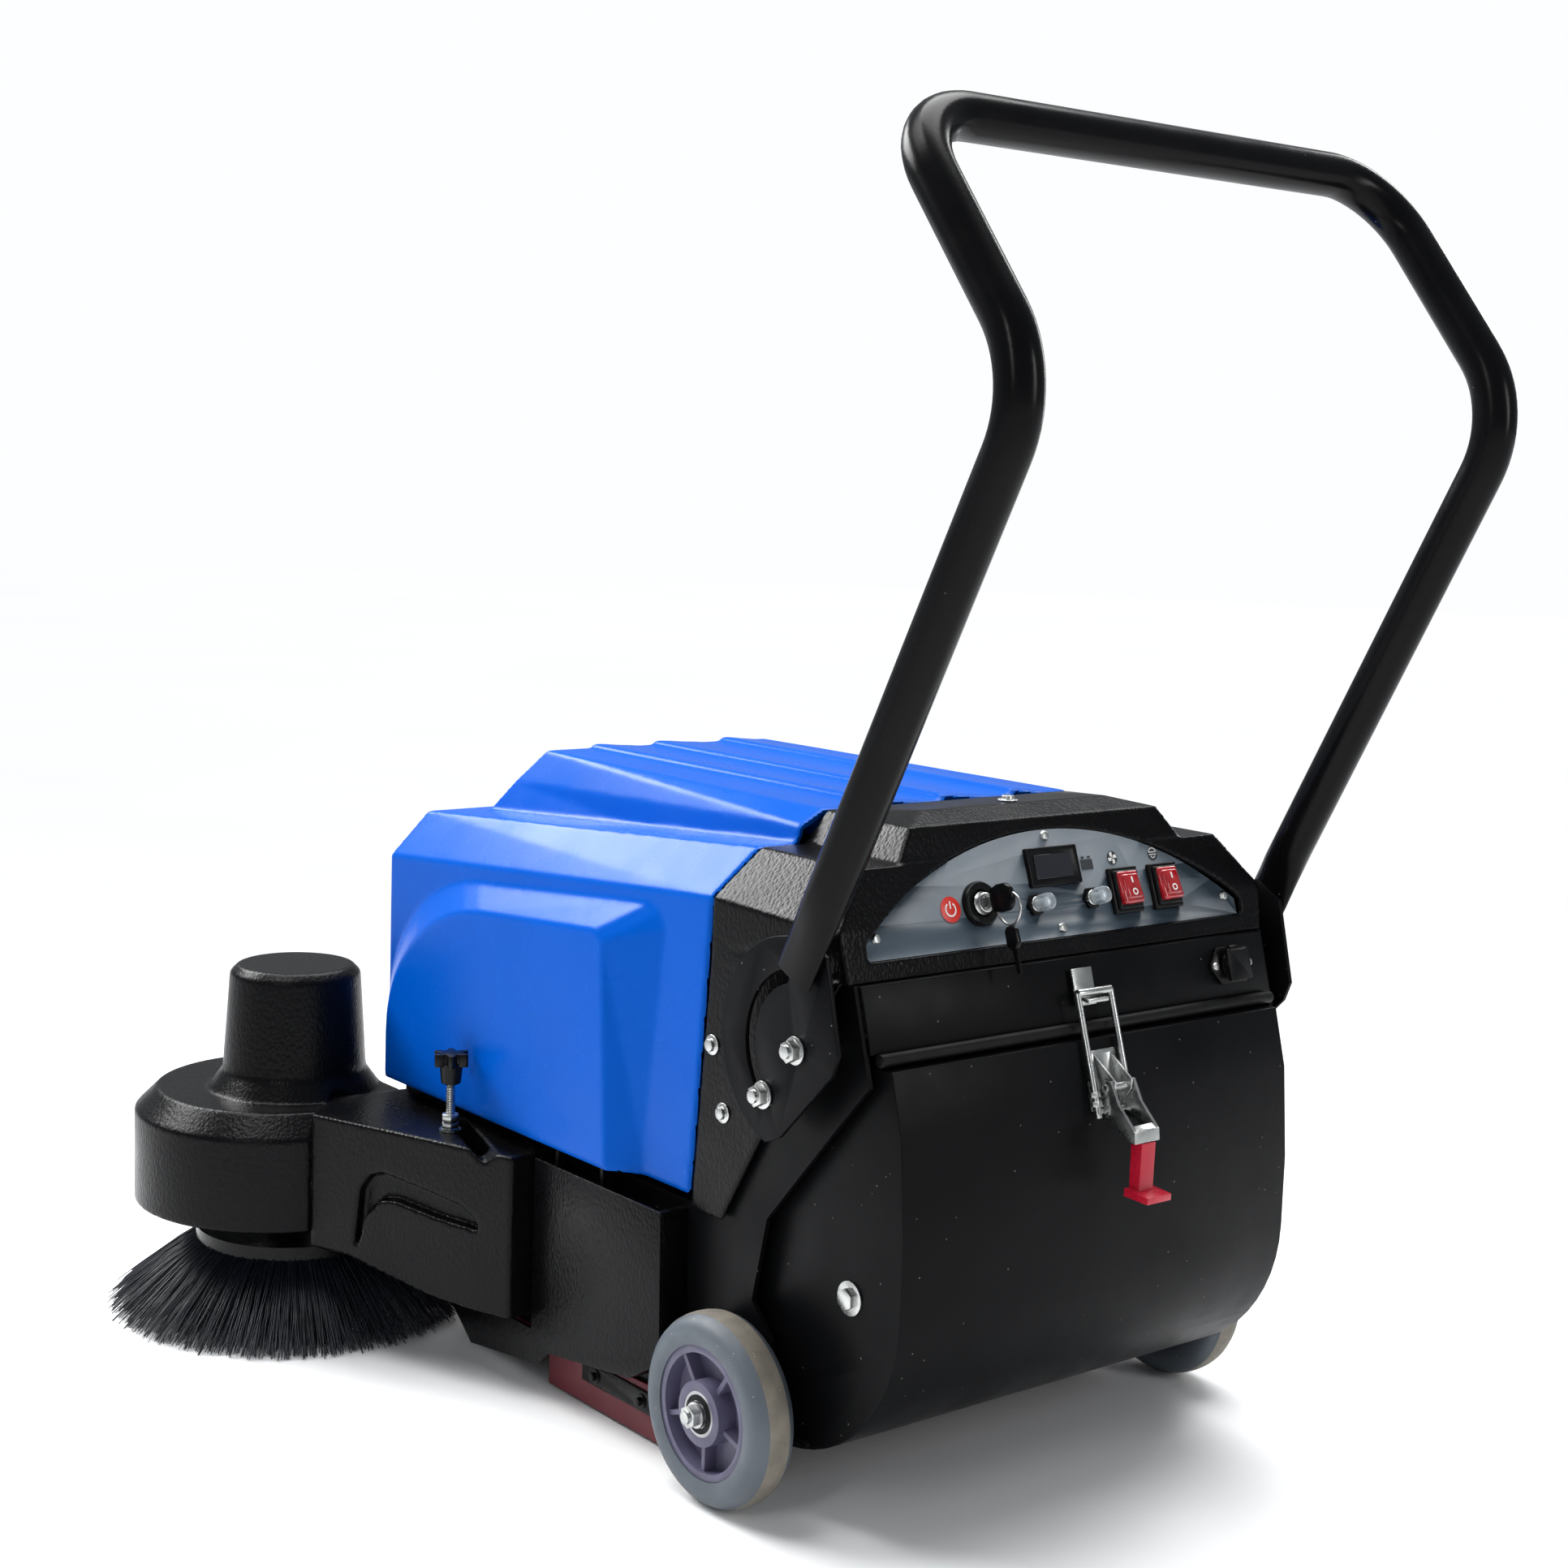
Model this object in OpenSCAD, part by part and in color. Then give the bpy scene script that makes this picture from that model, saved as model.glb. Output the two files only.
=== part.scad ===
// Walk-behind sweeper: pushed by hand, battery-driven brush roller, side brush and suction fan.
// +X right, +Y the way it travels, +Z up. Origin on the floor, midway between the two main wheels.

/* [Wheels] */
// Radius of the two main wheels
wheel_r = 75; // [60:1:100]
// Width of a main wheel
wheel_w = 40; // [30:1:50]
// Distance from the centre plane to a main wheel's outer face
wheel_out = 271; // [250:1:300]

/* [Body] */
// Distance from the centre plane to the outer face of a steel side plate
side_x = 222.5; // [200:0.5:240]
// Thickness of the steel side plates
side_t = 4; // [2:0.5:6]
// Distance from the centre plane to the outer face of the hood
hood_x = 230; // [225:1:245]
// Distance from the centre plane to the face of the hood's raised side pad
pad_x = 250; // [240:1:251]
// Height of the hood's lower edge above the floor
hood_z = 220; // [200:1:240]
// Wall thickness of the moulded hood and rear housing
wall = 5; // [3:0.5:8]

/* [Handle] */
// Radius of the handle tube
tube_r = 16.85; // [12:0.05:20]
// Distance from the centre plane to a handle leg's centre line
leg_x = 253; // [245:1:262]
// Height of the handle's cross bar above the floor
bar_z = 1026; // [900:1:1100]

/* [Brushes] */
// Radius of the brush roller at its bristle tips
roller_r = 122; // [100:1:140]
// Distance of the roller's shaft ahead of the wheel axle
roller_y = 215; // [190:1:240]
// Radius of the side brush where its tips meet the floor
side_brush_r = 168; // [120:1:200]

/* [Dust bin] */
// Distance from the centre plane to the outer face of the bin
bin_x = 210.5; // [190:0.5:214]
// Thickness of the bin's sheet
bin_t = 2; // [1:0.5:4]

/* [Hidden] */
$fn = 48;
fit = 0.05;                       // radial clearance of a shaft that turns in its hole
gap = 1;                          // gap between covers that part
side_in = side_x - side_t;
axle_r = 7.5;
bearing_r = 17.5;
bearing_w = 11;
wheel_in = wheel_out - wheel_w;
wheel_mid = wheel_out - wheel_w / 2;
pivot = [-73, 369];               // handle pivot, seen from the side (y, z)
slot_r = 54;
lock_angle = -49;
lock = pivot + slot_r * [cos(lock_angle), sin(lock_angle)];
bolt_r = 5;
plate_x = 245;                    // inner face of a handle plate
plate_t = 4;
bar_half = 190;                   // half the length of the bare cross bar
knee = [-189.6, 847.6];            // centre of the knee bend (y, z)
bar_y = -148;
panel_at = [0, -88.3, 438.3];     // lower panel screw, the panel's own origin
panel_tilt = 70;
panel_t = 3;
motor_at = [206, 318];            // brush motor shaft (y, z)
motor_pulley_r = 20;
roller_pulley_r = 38;
belt_t = 4;
belt_gap = 0.4;
pulley_x = -241;
pulley_w = 11;
spin_at = [-302, 586];            // side brush axis (x, y)
drum_at = [-308, 600];            // centre of the round cover (x, y)
drum_r = 132;
seam = [[-345, 473], [-300, 516], [-228, 508]];
arm_top = 208;
arm_pin = [300, 120];             // side brush arm's pivot (y, z)
arm_pin_r = 6;
knob_at = [-270, 364];            // height knob's axis (x, y)
lever_at = [-158, 328];           // latch lever's pin (y, z)
bail_at = [-156, 310];            // bail's pin in the lever (y, z)
hook_at = [-128, 396];            // bail's bar above the catch (y, z)
caster_at = [0, 455];             // swivel axis (x, y)
caster_r = 40;
caster_trail = 28;
kingpin_r = 6;
fan_at = [110, 6, 412];
socket_y = -113.2;
hood_hinge = [524, 228];          // hood hinge pin (y, z)
hinge_pin_r = 4;

// Moves the machine so that the origin is under the middle of its outline
middle = [92.75, -231.45, 0];

// A side-view outline (y, z) given thickness t from x outwards
module side_view(x, t) {
    translate([x, 0, 0]) rotate([90, 0, 90]) linear_extrude(t) children();
}

// A round bar along X from x, centred on a side-view point
module bar(r, x, length, at) {
    translate([x, at[0], at[1]]) rotate([0, 90, 0]) cylinder(r = r, h = length);
}

// A hexagon nut or bolt head along X
module hexagon(r, x, t, at) {
    translate([x, at[0], at[1]]) rotate([0, 90, 0]) cylinder(r = r, h = t, $fn = 6);
}

// The same shape on both sides of the machine
module both_sides() {
    children();
    mirror([1, 0, 0]) children();
}

// A convex solid through the given corners and their mirror images
module mirrored_solid(corners) {
    hull() for (c = corners, s = [-1, 1]) translate([s * c[0], c[1], c[2]]) cube(0.02, center = true);
}

// Places its children on the control panel: x across, y up the slope, z out towards the user
module on_panel(x = 0, up = 0) {
    translate(panel_at) rotate([panel_tilt, 0, 0]) translate([x, up, 0]) children();
}

function on_arc(centre, r, a) = centre + r * [cos(a), sin(a)];

function arc(centre, r, a0, a1, steps) =
    [for (i = [0:steps]) on_arc(centre, r, a0 + (a1 - a0) * i / steps)];

// Both side plates, cross members, battery tray, caster plate and the bin's runners
module chassis_frame() {
    rear_edge = [[-103, 419], [-124, 348], [-89, 309], [-14, 223], [1, 155], [-24, 130], [-32, 80], [-16, 48]];
    front_edge = [[60, 44], [395, 44], [420, 78], [520, 78], [520, 212], [60, 212], [30, 300], [30, 419]];
    color([0.07, 0.07, 0.08]) {
        both_sides() {
            difference() {
                side_view(side_in, side_t) polygon(concat(rear_edge, front_edge));
                bar(axle_r + 0.1, side_in - 1, side_t + 2, [0, wheel_r]);
                bar(bearing_r, side_in - 1, side_t + 2, [roller_y, roller_r]);
                bar(bolt_r + 0.2, side_in - 1, side_t + 2, pivot);
                bar(bolt_r + 0.2, side_in - 1, side_t + 2, lock);
            }
            translate([side_in - 6, -30, 52]) cube([6, 70, 3]);
        }
        translate([-side_in, 62, 62]) cube([2 * side_in, 3, 40]);
        translate([-side_in, 516, 78]) cube([2 * side_in, 4, 138]);
        difference() {
            translate([-side_in, 395, 112]) cube([2 * side_in, 121, 4]);
            translate([caster_at[0], caster_at[1], 100]) cylinder(r = kingpin_r + fit, h = 30);
        }
        difference() {
            translate([-side_in, 262, 258]) cube([2 * side_in, 252, 3]);
            translate([-60, 262, 250]) cube([120, 20, 20]);
        }
        both_sides() translate([side_in - 16, 350, 204]) cube([16.5, 160, 54.5]);
        bar(arm_pin_r, -262, 262 - side_x + 1, arm_pin);
        both_sides() {
            side_view(123, 5) polygon([[516.5, 204], [522, 204], [533, 222], [531, 235], [522, 237], [516.5, 230]]);
            bar(hinge_pin_r, 124, 28, hood_hinge);
        }
    }
}

// Folded steel plate across the back, between the panel and the bin
module rear_plate() {
    slope = [[-106, 418.6], [-120.5, 371], [-118.5, 371], [-104, 416.6], [-85, 416.6], [-85, 418.6]];
    color([0.07, 0.07, 0.08])
        side_view(-side_in + 0.1, 2 * side_in - 0.2) polygon(slope);
}

// Sheet steel hood over the roller that leads the dust back to the bin
module brush_tunnel() {
    centre = [roller_y, roller_r];
    inside = roller_r + 10;
    wall_t = 2.5;
    outline = concat(
        [[roller_y + inside + wall_t, 50]],
        arc(centre, inside + wall_t, 0, 135, 18),
        [[70, 262], [70, 368], [67, 368], [67, 260]],
        arc(centre, inside, 135, 0, 18),
        [[roller_y + inside, 50]]
    );
    color([0.12, 0.12, 0.13])
        side_view(-side_in + 0.1, 2 * side_in - 0.2) polygon(outline);
}

// Corners shared by the housing's outside and, shrunk by t, its inside
function housing_base(t) = [
    [hood_x - t, 58 - gap, 419], [hood_x - t, 57 - gap, 459], [194 - t, 45 - gap, 497 - t],
    [226 - t, -101 + t, 419], [hood_x - t, -93 + t, 455], [194 - t, -72 + 1.5 * t, 497 - t]
];

function housing_top(t) = [
    [167 - t, 44 - gap, 480], [133 - t, 42 - gap, 522 - t], [167 - t, -78 + 1.5 * t, 480],
    [135 - t, -60 + 1.5 * t, 522 - t], [100 - t, -34 + t, 530 - t], [90 - t, 20, 526 - t]
];

// Moulded housing behind the hood, with the sloping face that takes the control panel
module rear_housing() {
    tongue = [[-95, 420], [-95, 419], [-20, 300], [33, 210], [73 - gap, 210], [73 - gap, 220], [57 - gap, 420]];
    color([0.05, 0.05, 0.06])
        difference() {
            union() {
                difference() {
                    union() {
                        mirrored_solid(housing_base(0));
                        mirrored_solid(housing_top(0));
                    }
                    translate([0, 0, -0.1]) mirrored_solid(housing_base(wall));
                    translate([0, 0.1, 0]) mirrored_solid(housing_top(wall));
                    translate([-180, 30, 410]) cube([360, 40, 80]);
                    translate([0, -0.6, 0]) scale([1.01, 1, 1]) mirrored_solid(hood_top(0));
                    translate([0, -0.6, 0]) mirrored_solid(hood_base(0));
                    translate([-side_x - 2, -96, 418]) cube([2 * side_x + 4, 145, 12]);
                }
                both_sides() side_view(hood_x - 4, 4) polygon(tongue);
            }
            on_panel() translate([0, 0, -1]) linear_extrude(20) panel_outline(0.5);
            on_panel() translate([0, 0, -30]) {
                translate([-142, 2, 0]) cube([284, 41, 40]);
                translate([-40, 40, 0]) cube([80, 24, 40]);
            }
            both_sides() bar(bolt_r + 1, 200, 60, pivot);
            both_sides() bar(bolt_r + 1, 200, 60, lock);
            for (at = [[50, 345], [34, 295]]) both_sides() bar(3, 215, 20, at);
        }
}

// Half-moon outline of the control panel, grown by edge
module panel_outline(edge) {
    crown = 321;
    intersection() {
        translate([0, 78 - crown]) circle(r = crown + edge, $fn = 180);
        translate([-203 - edge, -7 - edge]) square([406 + 2 * edge, 100]);
    }
}

module control_panel() {
    color([0.25, 0.32, 0.38])
        difference() {
            on_panel() linear_extrude(panel_t) panel_outline(0);
            on_panel(-82, 25.6) translate([0, 0, -1]) cylinder(r = 9.7, h = 6);
            for (x = [-25, 36.5]) on_panel(x, 20) translate([0, 0, -1]) cylinder(r = 5.2, h = 6);
            for (x = [74.8, 121]) on_panel(x, 23) translate([-14, -14.5, -1]) cube([28, 29, 6]);
            on_panel(1.5, 48.5) translate([-24, -12, -1]) cube([48, 24, 6]);
        }
}

// Charge meter with its dark window
module battery_meter() {
    color([0.03, 0.03, 0.04])
        on_panel(1.5, 48.5) {
            translate([-28, -15.5, panel_t]) cube([56, 31, 3.5]);
            translate([-23.5, -11.5, -14]) cube([47, 23, 14 + panel_t]);
        }
}

module panel_screws() {
    places = [[-190.5, 9], [190.5, 9], [0, 73], [0, 0]];
    color([0.8, 0.8, 0.8]) {
        for (p = places) on_panel(p[0], p[1]) translate([0, 0, panel_t]) cylinder(r1 = 4.5, r2 = 3, h = 2.6);
        translate([174, socket_y, 396]) rotate([73.2, 0, 0])
            for (x = [-20, 20]) translate([x, 0, 3.05]) cylinder(r1 = 3.8, r2 = 2.6, h = 2.2);
    }
}

module housing_screws() {
    color([0.8, 0.8, 0.8]) {
        for (at = [[50, 345], [34, 295]])
            both_sides() {
                bar(8, hood_x + 0.1, 1.2, at);
                bar(4.8, hood_x + 1.3, 3.5, at);
            }
        translate([0, -24, 530.2]) cylinder(r = 8, h = 1.2);
        translate([0, -24, 531.4]) cylinder(r = 4.8, h = 3);
    }
}

// Round key switch: bezel, barrel and nut behind the panel
module key_switch() {
    color([0.04, 0.04, 0.05])
        on_panel(-82, 25.6)
            difference() {
                union() {
                    translate([0, 0, panel_t]) cylinder(r = 17.4, h = 5);
                    translate([0, 0, panel_t + 5]) cylinder(r = 9, h = 3);
                    translate([0, 0, -30]) cylinder(r = 9.5, h = 30 + panel_t);
                }
                translate([0, 0, -5]) cylinder(r = 5 + fit, h = 20);
            }
}

// Fixed frames of the two rocker switches and the two breakers
module switch_frames() {
    color([0.03, 0.03, 0.04]) {
        for (x = [74.8, 121])
            on_panel(x, 23)
                difference() {
                    union() {
                        translate([-16.5, -18, panel_t]) cube([33, 36, 6]);
                        translate([-13.5, -14, -24]) cube([27, 28, 24 + panel_t]);
                    }
                    translate([-10, -12, -10]) cube([20, 24, 25]);
                }
        for (x = [-25, 36.5])
            on_panel(x, 20)
                difference() {
                    union() {
                        translate([0, 0, panel_t]) cylinder(r = 8.5, h = 4);
                        translate([0, 0, -24]) cylinder(r = 5, h = 24 + panel_t);
                    }
                    translate([0, 0, -6]) cylinder(r = 3.5 + fit, h = 20);
                }
    }
}

// Charging inlet on the rear plate
module charge_socket() {
    color([0.03, 0.03, 0.04])
        translate([174, socket_y, 396]) rotate([73.2, 0, 0])
            difference() {
                union() {
                    linear_extrude(3) hull() {
                        square([30, 30], center = true);
                        for (x = [-20, 20]) translate([x, 0]) circle(r = 5);
                    }
                    translate([0, 0, 3]) cylinder(r = 11, h = 5);
                }
                translate([0, 0, 4]) cylinder(r = 8, h = 5);
            }
}

// Spring-loaded lid of the charging inlet, hinged along its upper edge
module socket_flap() {
    color([0.02, 0.02, 0.03])
        translate([174, socket_y, 396]) rotate([73.2, 0, 0]) {
            translate([-13, -13, 8.5]) cube([26, 26, 3]);
            translate([-9, 13, 10]) rotate([0, 90, 0]) cylinder(r = 2.4, h = 18);
        }
}

// Catch on the rear plate: a shelf that the bail's bar rests on
module latch_catch() {
    shelf_top = hook_at[1] - 3.35;
    color([0.8, 0.82, 0.82]) {
        side_view(-11, 22) polygon([
            [-110.9, 411], [-119.4, 383], [-121.4, 383.5], [-121.8, shelf_top - 3],
            [-134, shelf_top - 4.2], [-134, shelf_top - 1.2], [-119.4, shelf_top], [-113.5, 411.5]
        ]);
    }
}

// Rubber bulb that the bin's top edge closes against
module bin_seal() {
    color([0.03, 0.03, 0.03])
        bar(5, -214, 428, [-124, 367.2]);
}

module axle_bolts() {
    at = [0, wheel_r];
    color([0.75, 0.73, 0.68])
        both_sides() {
            bar(axle_r, side_in, wheel_out + 1.5 - side_in, at);
            bar(12, side_in - 4.5, 4.5, at);
            bar(13, side_x, 5, at);
            bar(10, wheel_out + 1.5, 2, at);
            hexagon(9, wheel_out + 3.5, 7, at);
            bar(bolt_r, wheel_out + 10.5, 3, at);
        }
}

// Pivot and lock bolts that hold the handle plates
module handle_bolts() {
    color([0.7, 0.69, 0.66])
        both_sides() for (at = [pivot, lock]) {
            bar(bolt_r, side_in - 1, plate_x + plate_t + 13 - side_in, at);
            bar(9, side_in - 4.8, 4.5, at);
            bar(9, side_x + 0.2, hood_x - side_x - 4.4, at);
            bar(9, hood_x + 0.2, plate_x - hood_x - 0.5, at);
            bar(10.5, plate_x + plate_t + 0.3, 1.8, at);
            hexagon(8.5, plate_x + plate_t + 2.1, 7, at);
        }
}

// Moulded covers below the hood, over the belt on the left and plain on the right
module side_covers() {
    outline = [[80, 84], [120, 60], [235, 44], [262, 44], [262, 206], [84, 206]];
    lower = [[235, 44], [250, 30], [356, 16], [408, 58], [262, 58], [262, 44]];
    color([0.04, 0.04, 0.05])
        both_sides() {
            difference() {
                side_view(side_x + 0.1, 27.4) polygon(outline);
                side_view(side_x, 24) polygon([[88, 80], [122, 63], [236, 47], [259, 47], [259, 210], [91, 210]]);
            }
            side_view(side_x + 24, 3.5) polygon(lower);
            translate([side_x + 0.1, 255, 44]) cube([26, 3, 13]);
        }
}

// Rubber skirts along both sides and flaps ahead of and behind the roller
module rubber_skirts() {
    color([0.35, 0.02, 0.06]) {
        both_sides() side_view(side_x + 0.2, 4) polygon([[95, 3], [268, 3], [268, 43.4], [235, 43.4], [95, 49]]);
        translate([-side_in + 1, roller_y + roller_r + 12.8, 3]) cube([2 * side_in - 2, 4, 90]);
        translate([-side_in + 1, 65.2, 3]) cube([2 * side_in - 2, 4, 90]);
    }
}

module skirt_strips() {
    color([0.03, 0.03, 0.03])
        both_sides() {
            side_view(side_x + 4.3, 2) polygon([[112, 24], [215, 24], [215, 42], [112, 42]]);
            for (y = [130, 195]) {
                bar(6, side_x + 6.3, 1.4, [y, 33]);
                bar(3.5, side_x + 7.7, 4, [y, 33]);
            }
        }
}

module drive_motor() {
    color([0.3, 0.3, 0.32]) {
        bar(45, -205, 150, motor_at);
        difference() {
            bar(14, -side_in + 0.5, side_in - 205.5, motor_at);
            bar(6.5, -side_in, 12, motor_at);
        }
        translate([-190, motor_at[0] - 30, 260]) cube([110, 60, 20]);
    }
}

// Flat belt from the motor down to the roller
module drive_belt() {
    top = motor_pulley_r + belt_gap;
    low = roller_pulley_r + belt_gap;
    color([0.05, 0.05, 0.05])
        side_view(pulley_x + 1, pulley_w - 2)
            difference() {
                hull() {
                    translate(motor_at) circle(r = top + belt_t);
                    translate([roller_y, roller_r]) circle(r = low + belt_t);
                }
                hull() {
                    translate(motor_at) circle(r = top);
                    translate([roller_y, roller_r]) circle(r = low);
                }
            }
}

module battery() {
    color([0.12, 0.12, 0.14]) {
        translate([-115, 318, 261.2]) cube([230, 168, 180]);
        for (x = [-90, 90]) translate([x, 345, 441.2]) cylinder(r = 8, h = 14);
    }
}

// Pleated filter panel above the bin
module dust_filter() {
    color([0.85, 0.82, 0.7])
        difference() {
            translate([-190, -80, 372]) cube([380, 140, 34]);
            for (i = [0:17]) translate([-178 + i * 20.4, -70, 366]) cube([9, 120, 30]);
        }
}

// Suction fan's casing with its motor on top
module fan_housing() {
    color([0.1, 0.1, 0.11])
        translate(fan_at)
            difference() {
                union() {
                    cylinder(r = 52, h = 42);
                    translate([0, 0, 42]) cylinder(r = 27, h = 46);
                    translate([-150, -20, 0]) cube([110, 40, 30]);
                }
                translate([0, 0, 3]) cylinder(r = 48, h = 35);
                translate([0, 0, -1]) cylinder(r = 24, h = 10);
                translate([0, 0, 30]) cylinder(r = 4 + fit, h = 40);
            }
}

module fan_impeller() {
    color([0.55, 0.56, 0.58])
        translate(fan_at) {
            translate([0, 0, 6]) cylinder(r = 44, h = 2);
            for (i = [0:9]) rotate([0, 0, i * 36]) translate([26, -1, 7.9]) cube([17, 2, 22]);
            translate([0, 0, 7]) cylinder(r = 4, h = 60);
        }
}

module brush_bearings() {
    at = [roller_y, roller_r];
    color([0.6, 0.6, 0.62])
        both_sides()
            difference() {
                bar(bearing_r - 0.02, side_in - 5, bearing_w, at);
                bar(10 + fit, side_in - 6, bearing_w + 2, at);
            }
}

// Both handle legs, each from its flattened foot to the start of the cross bar
module handle_tube() {
    foot = [pivot[0] - 6, 421];
    start = [leg_x, -100.7, 475];
    knee_r = 85;
    corner_r = 62;
    up = [0, 0.577, 0.817];           // direction of the leg above the knee
    end = [leg_x, bar_y, bar_z];
    bend = [for (a = [207:-10.33:145]) [leg_x, knee[0] + knee_r * cos(a), knee[1] + knee_r * sin(a)]];
    turn = [for (a = [0:15:90]) end - [corner_r * (1 - cos(a)), 0, 0] - up * corner_r * (1 - sin(a))];
    route = concat([start], bend, turn, [[bar_half, bar_y, bar_z]]);
    color([0.06, 0.06, 0.07])
        both_sides()
            difference() {
                union() {
                    for (i = [0:len(route) - 2])
                        hull() for (p = [route[i], route[i + 1]]) translate(p) sphere(r = tube_r, $fn = 24);
                    hull() {
                        translate(start) sphere(r = tube_r, $fn = 24);
                        translate([plate_x + plate_t + 0.2, foot[0] - 16, foot[1] + 4]) cube([12, 32, 4]);
                    }
                }
                translate([bar_half - 30, bar_y - 30, bar_z - 30]) cube([30, 60, 60]);
                side_view(plate_x - 10, 10 + plate_t + 0.1) polygon([[-150, 400], [-30, 400], [-30, 457], [-150, 457]]);
            }
}

module handle_crossbar() {
    color([0.06, 0.06, 0.07])
        translate([-bar_half, bar_y, bar_z]) rotate([0, 90, 0]) cylinder(r = tube_r, h = 2 * bar_half);
}

// Curved slot in a handle plate: the lock bolt runs along it as the handle folds
module fold_slot(half_width) {
    first = lock_angle - 1;
    last = 72;
    steps = 24;
    polygon(concat(
        arc(pivot, slot_r + half_width, first, last, steps),
        arc(pivot, slot_r - half_width, last, first, steps)
    ));
    for (a = [first, last]) translate(on_arc(pivot, slot_r, a)) circle(r = half_width);
}

module handle_plates() {
    rim = arc([-65.6, 370], 81, 84, -72, 20);
    back = [[-57, 300], [-113, 358], [-119, 374], [-102, 442], [-78, 456]];
    color([0.07, 0.07, 0.08])
        both_sides()
            difference() {
                side_view(plate_x, plate_t) polygon(concat(rim, back));
                bar(bolt_r + fit, plate_x - 1, plate_t + 2, pivot);
                side_view(plate_x - 1, plate_t + 2) fold_slot(bolt_r + 0.4);
            }
}

// Grey tyre of a main wheel, its tread crowned
module tyre() {
    shoulder = 9;
    profile = [
        [52, -wheel_w / 2 + 2], [64, -wheel_w / 2], [wheel_r - 4, -wheel_w / 2 + shoulder],
        [wheel_r, -5], [wheel_r, 5], [wheel_r - 4, wheel_w / 2 - shoulder], [64, wheel_w / 2],
        [52, wheel_w / 2 - 2]
    ];
    color([0.42, 0.46, 0.5])
        translate([wheel_mid, 0, wheel_r]) rotate([0, 90, 0]) rotate_extrude($fn = 96) polygon(profile);
}

// Rim with hub, web and spokes
module rim() {
    half = wheel_w / 2 - 3;
    color([0.45, 0.43, 0.55])
        translate([wheel_mid, 0, wheel_r]) rotate([0, 90, 0])
            difference() {
                union() {
                    difference() {
                        translate([0, 0, -half]) cylinder(r = 51.95, h = 2 * half);
                        translate([0, 0, -half - 1]) cylinder(r = 46, h = 2 * half + 2);
                    }
                    translate([0, 0, -wheel_w / 2]) cylinder(r = 25, h = wheel_w);
                    translate([0, 0, -3]) cylinder(r = 48, h = 6);
                    for (i = [0:4]) rotate([0, 0, i * 72]) translate([24, -2, -14]) cube([24, 4, 28]);
                }
                translate([0, 0, -wheel_w]) cylinder(r = 12, h = 2 * wheel_w);
                for (z = [-wheel_w / 2 - 1, wheel_w / 2 - bearing_w])
                    translate([0, 0, z]) cylinder(r = bearing_r, h = bearing_w + 1);
            }
}

module wheel_bearings() {
    color([0.65, 0.65, 0.66])
        translate([wheel_mid, 0, wheel_r]) rotate([0, 90, 0])
            for (z = [-wheel_w / 2, wheel_w / 2 - bearing_w])
                translate([0, 0, z])
                    difference() {
                        cylinder(r = bearing_r - 0.02, h = bearing_w - 0.1);
                        translate([0, 0, -1]) cylinder(r = axle_r + fit, h = bearing_w + 2);
                    }
}

module left_tyre() mirror([1, 0, 0]) tyre();
module right_tyre() tyre();
module left_rim() mirror([1, 0, 0]) rim();
module right_rim() rim();
module left_bearings() mirror([1, 0, 0]) wheel_bearings();
module right_bearings() wheel_bearings();

// Swivel fork of the front caster with its kingpin and wheel axle
module caster_fork() {
    x = caster_at[0];
    y = caster_at[1];
    at = [y - caster_trail, caster_r];
    color([0.7, 0.7, 0.68]) {
        translate([x, y, 98]) cylinder(r = 26, h = 13.2);
        translate([x, y, 98]) cylinder(r = kingpin_r, h = 20);
        translate([x, y, 116.8]) cylinder(r = 11, h = 4);
        for (side = [-18, 15])
            side_view(x + side, 3) hull() {
                translate(at) circle(r = 11);
                translate([y - 22, 95]) square([44, 4]);
            }
        translate([x - 18, y - 22, 95]) cube([36, 44, 4]);
        bar(5, x - 20, 40, at);
    }
}

module caster_wheel() {
    at = [caster_at[1] - caster_trail, caster_r];
    color([0.1, 0.1, 0.1])
        difference() {
            bar(caster_r, caster_at[0] - 13, 26, at);
            bar(5 + fit, caster_at[0] - 14, 28, at);
        }
}

module roller_core() {
    at = [roller_y, roller_r];
    color([0.2, 0.2, 0.21]) {
        bar(42, -205, 410, at);
        bar(10, pulley_x - 2, -pulley_x + 2 + side_x + 4, at);
    }
}

module roller_bristles() {
    at = [roller_y, roller_r];
    color([0.08, 0.08, 0.09])
        difference() {
            bar(roller_r, -204, 408, at);
            bar(42.02, -210, 420, at);
        }
}

module roller_pulley() {
    at = [roller_y, roller_r];
    color([0.5, 0.5, 0.52])
        difference() {
            bar(roller_pulley_r, pulley_x, pulley_w, at);
            bar(10.02, pulley_x - 1, pulley_w + 2, at);
        }
}

module motor_pulley() {
    color([0.5, 0.5, 0.52]) {
        bar(motor_pulley_r, pulley_x, pulley_w, motor_at);
        bar(6, -230.1, 20, motor_at);
    }
}

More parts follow.
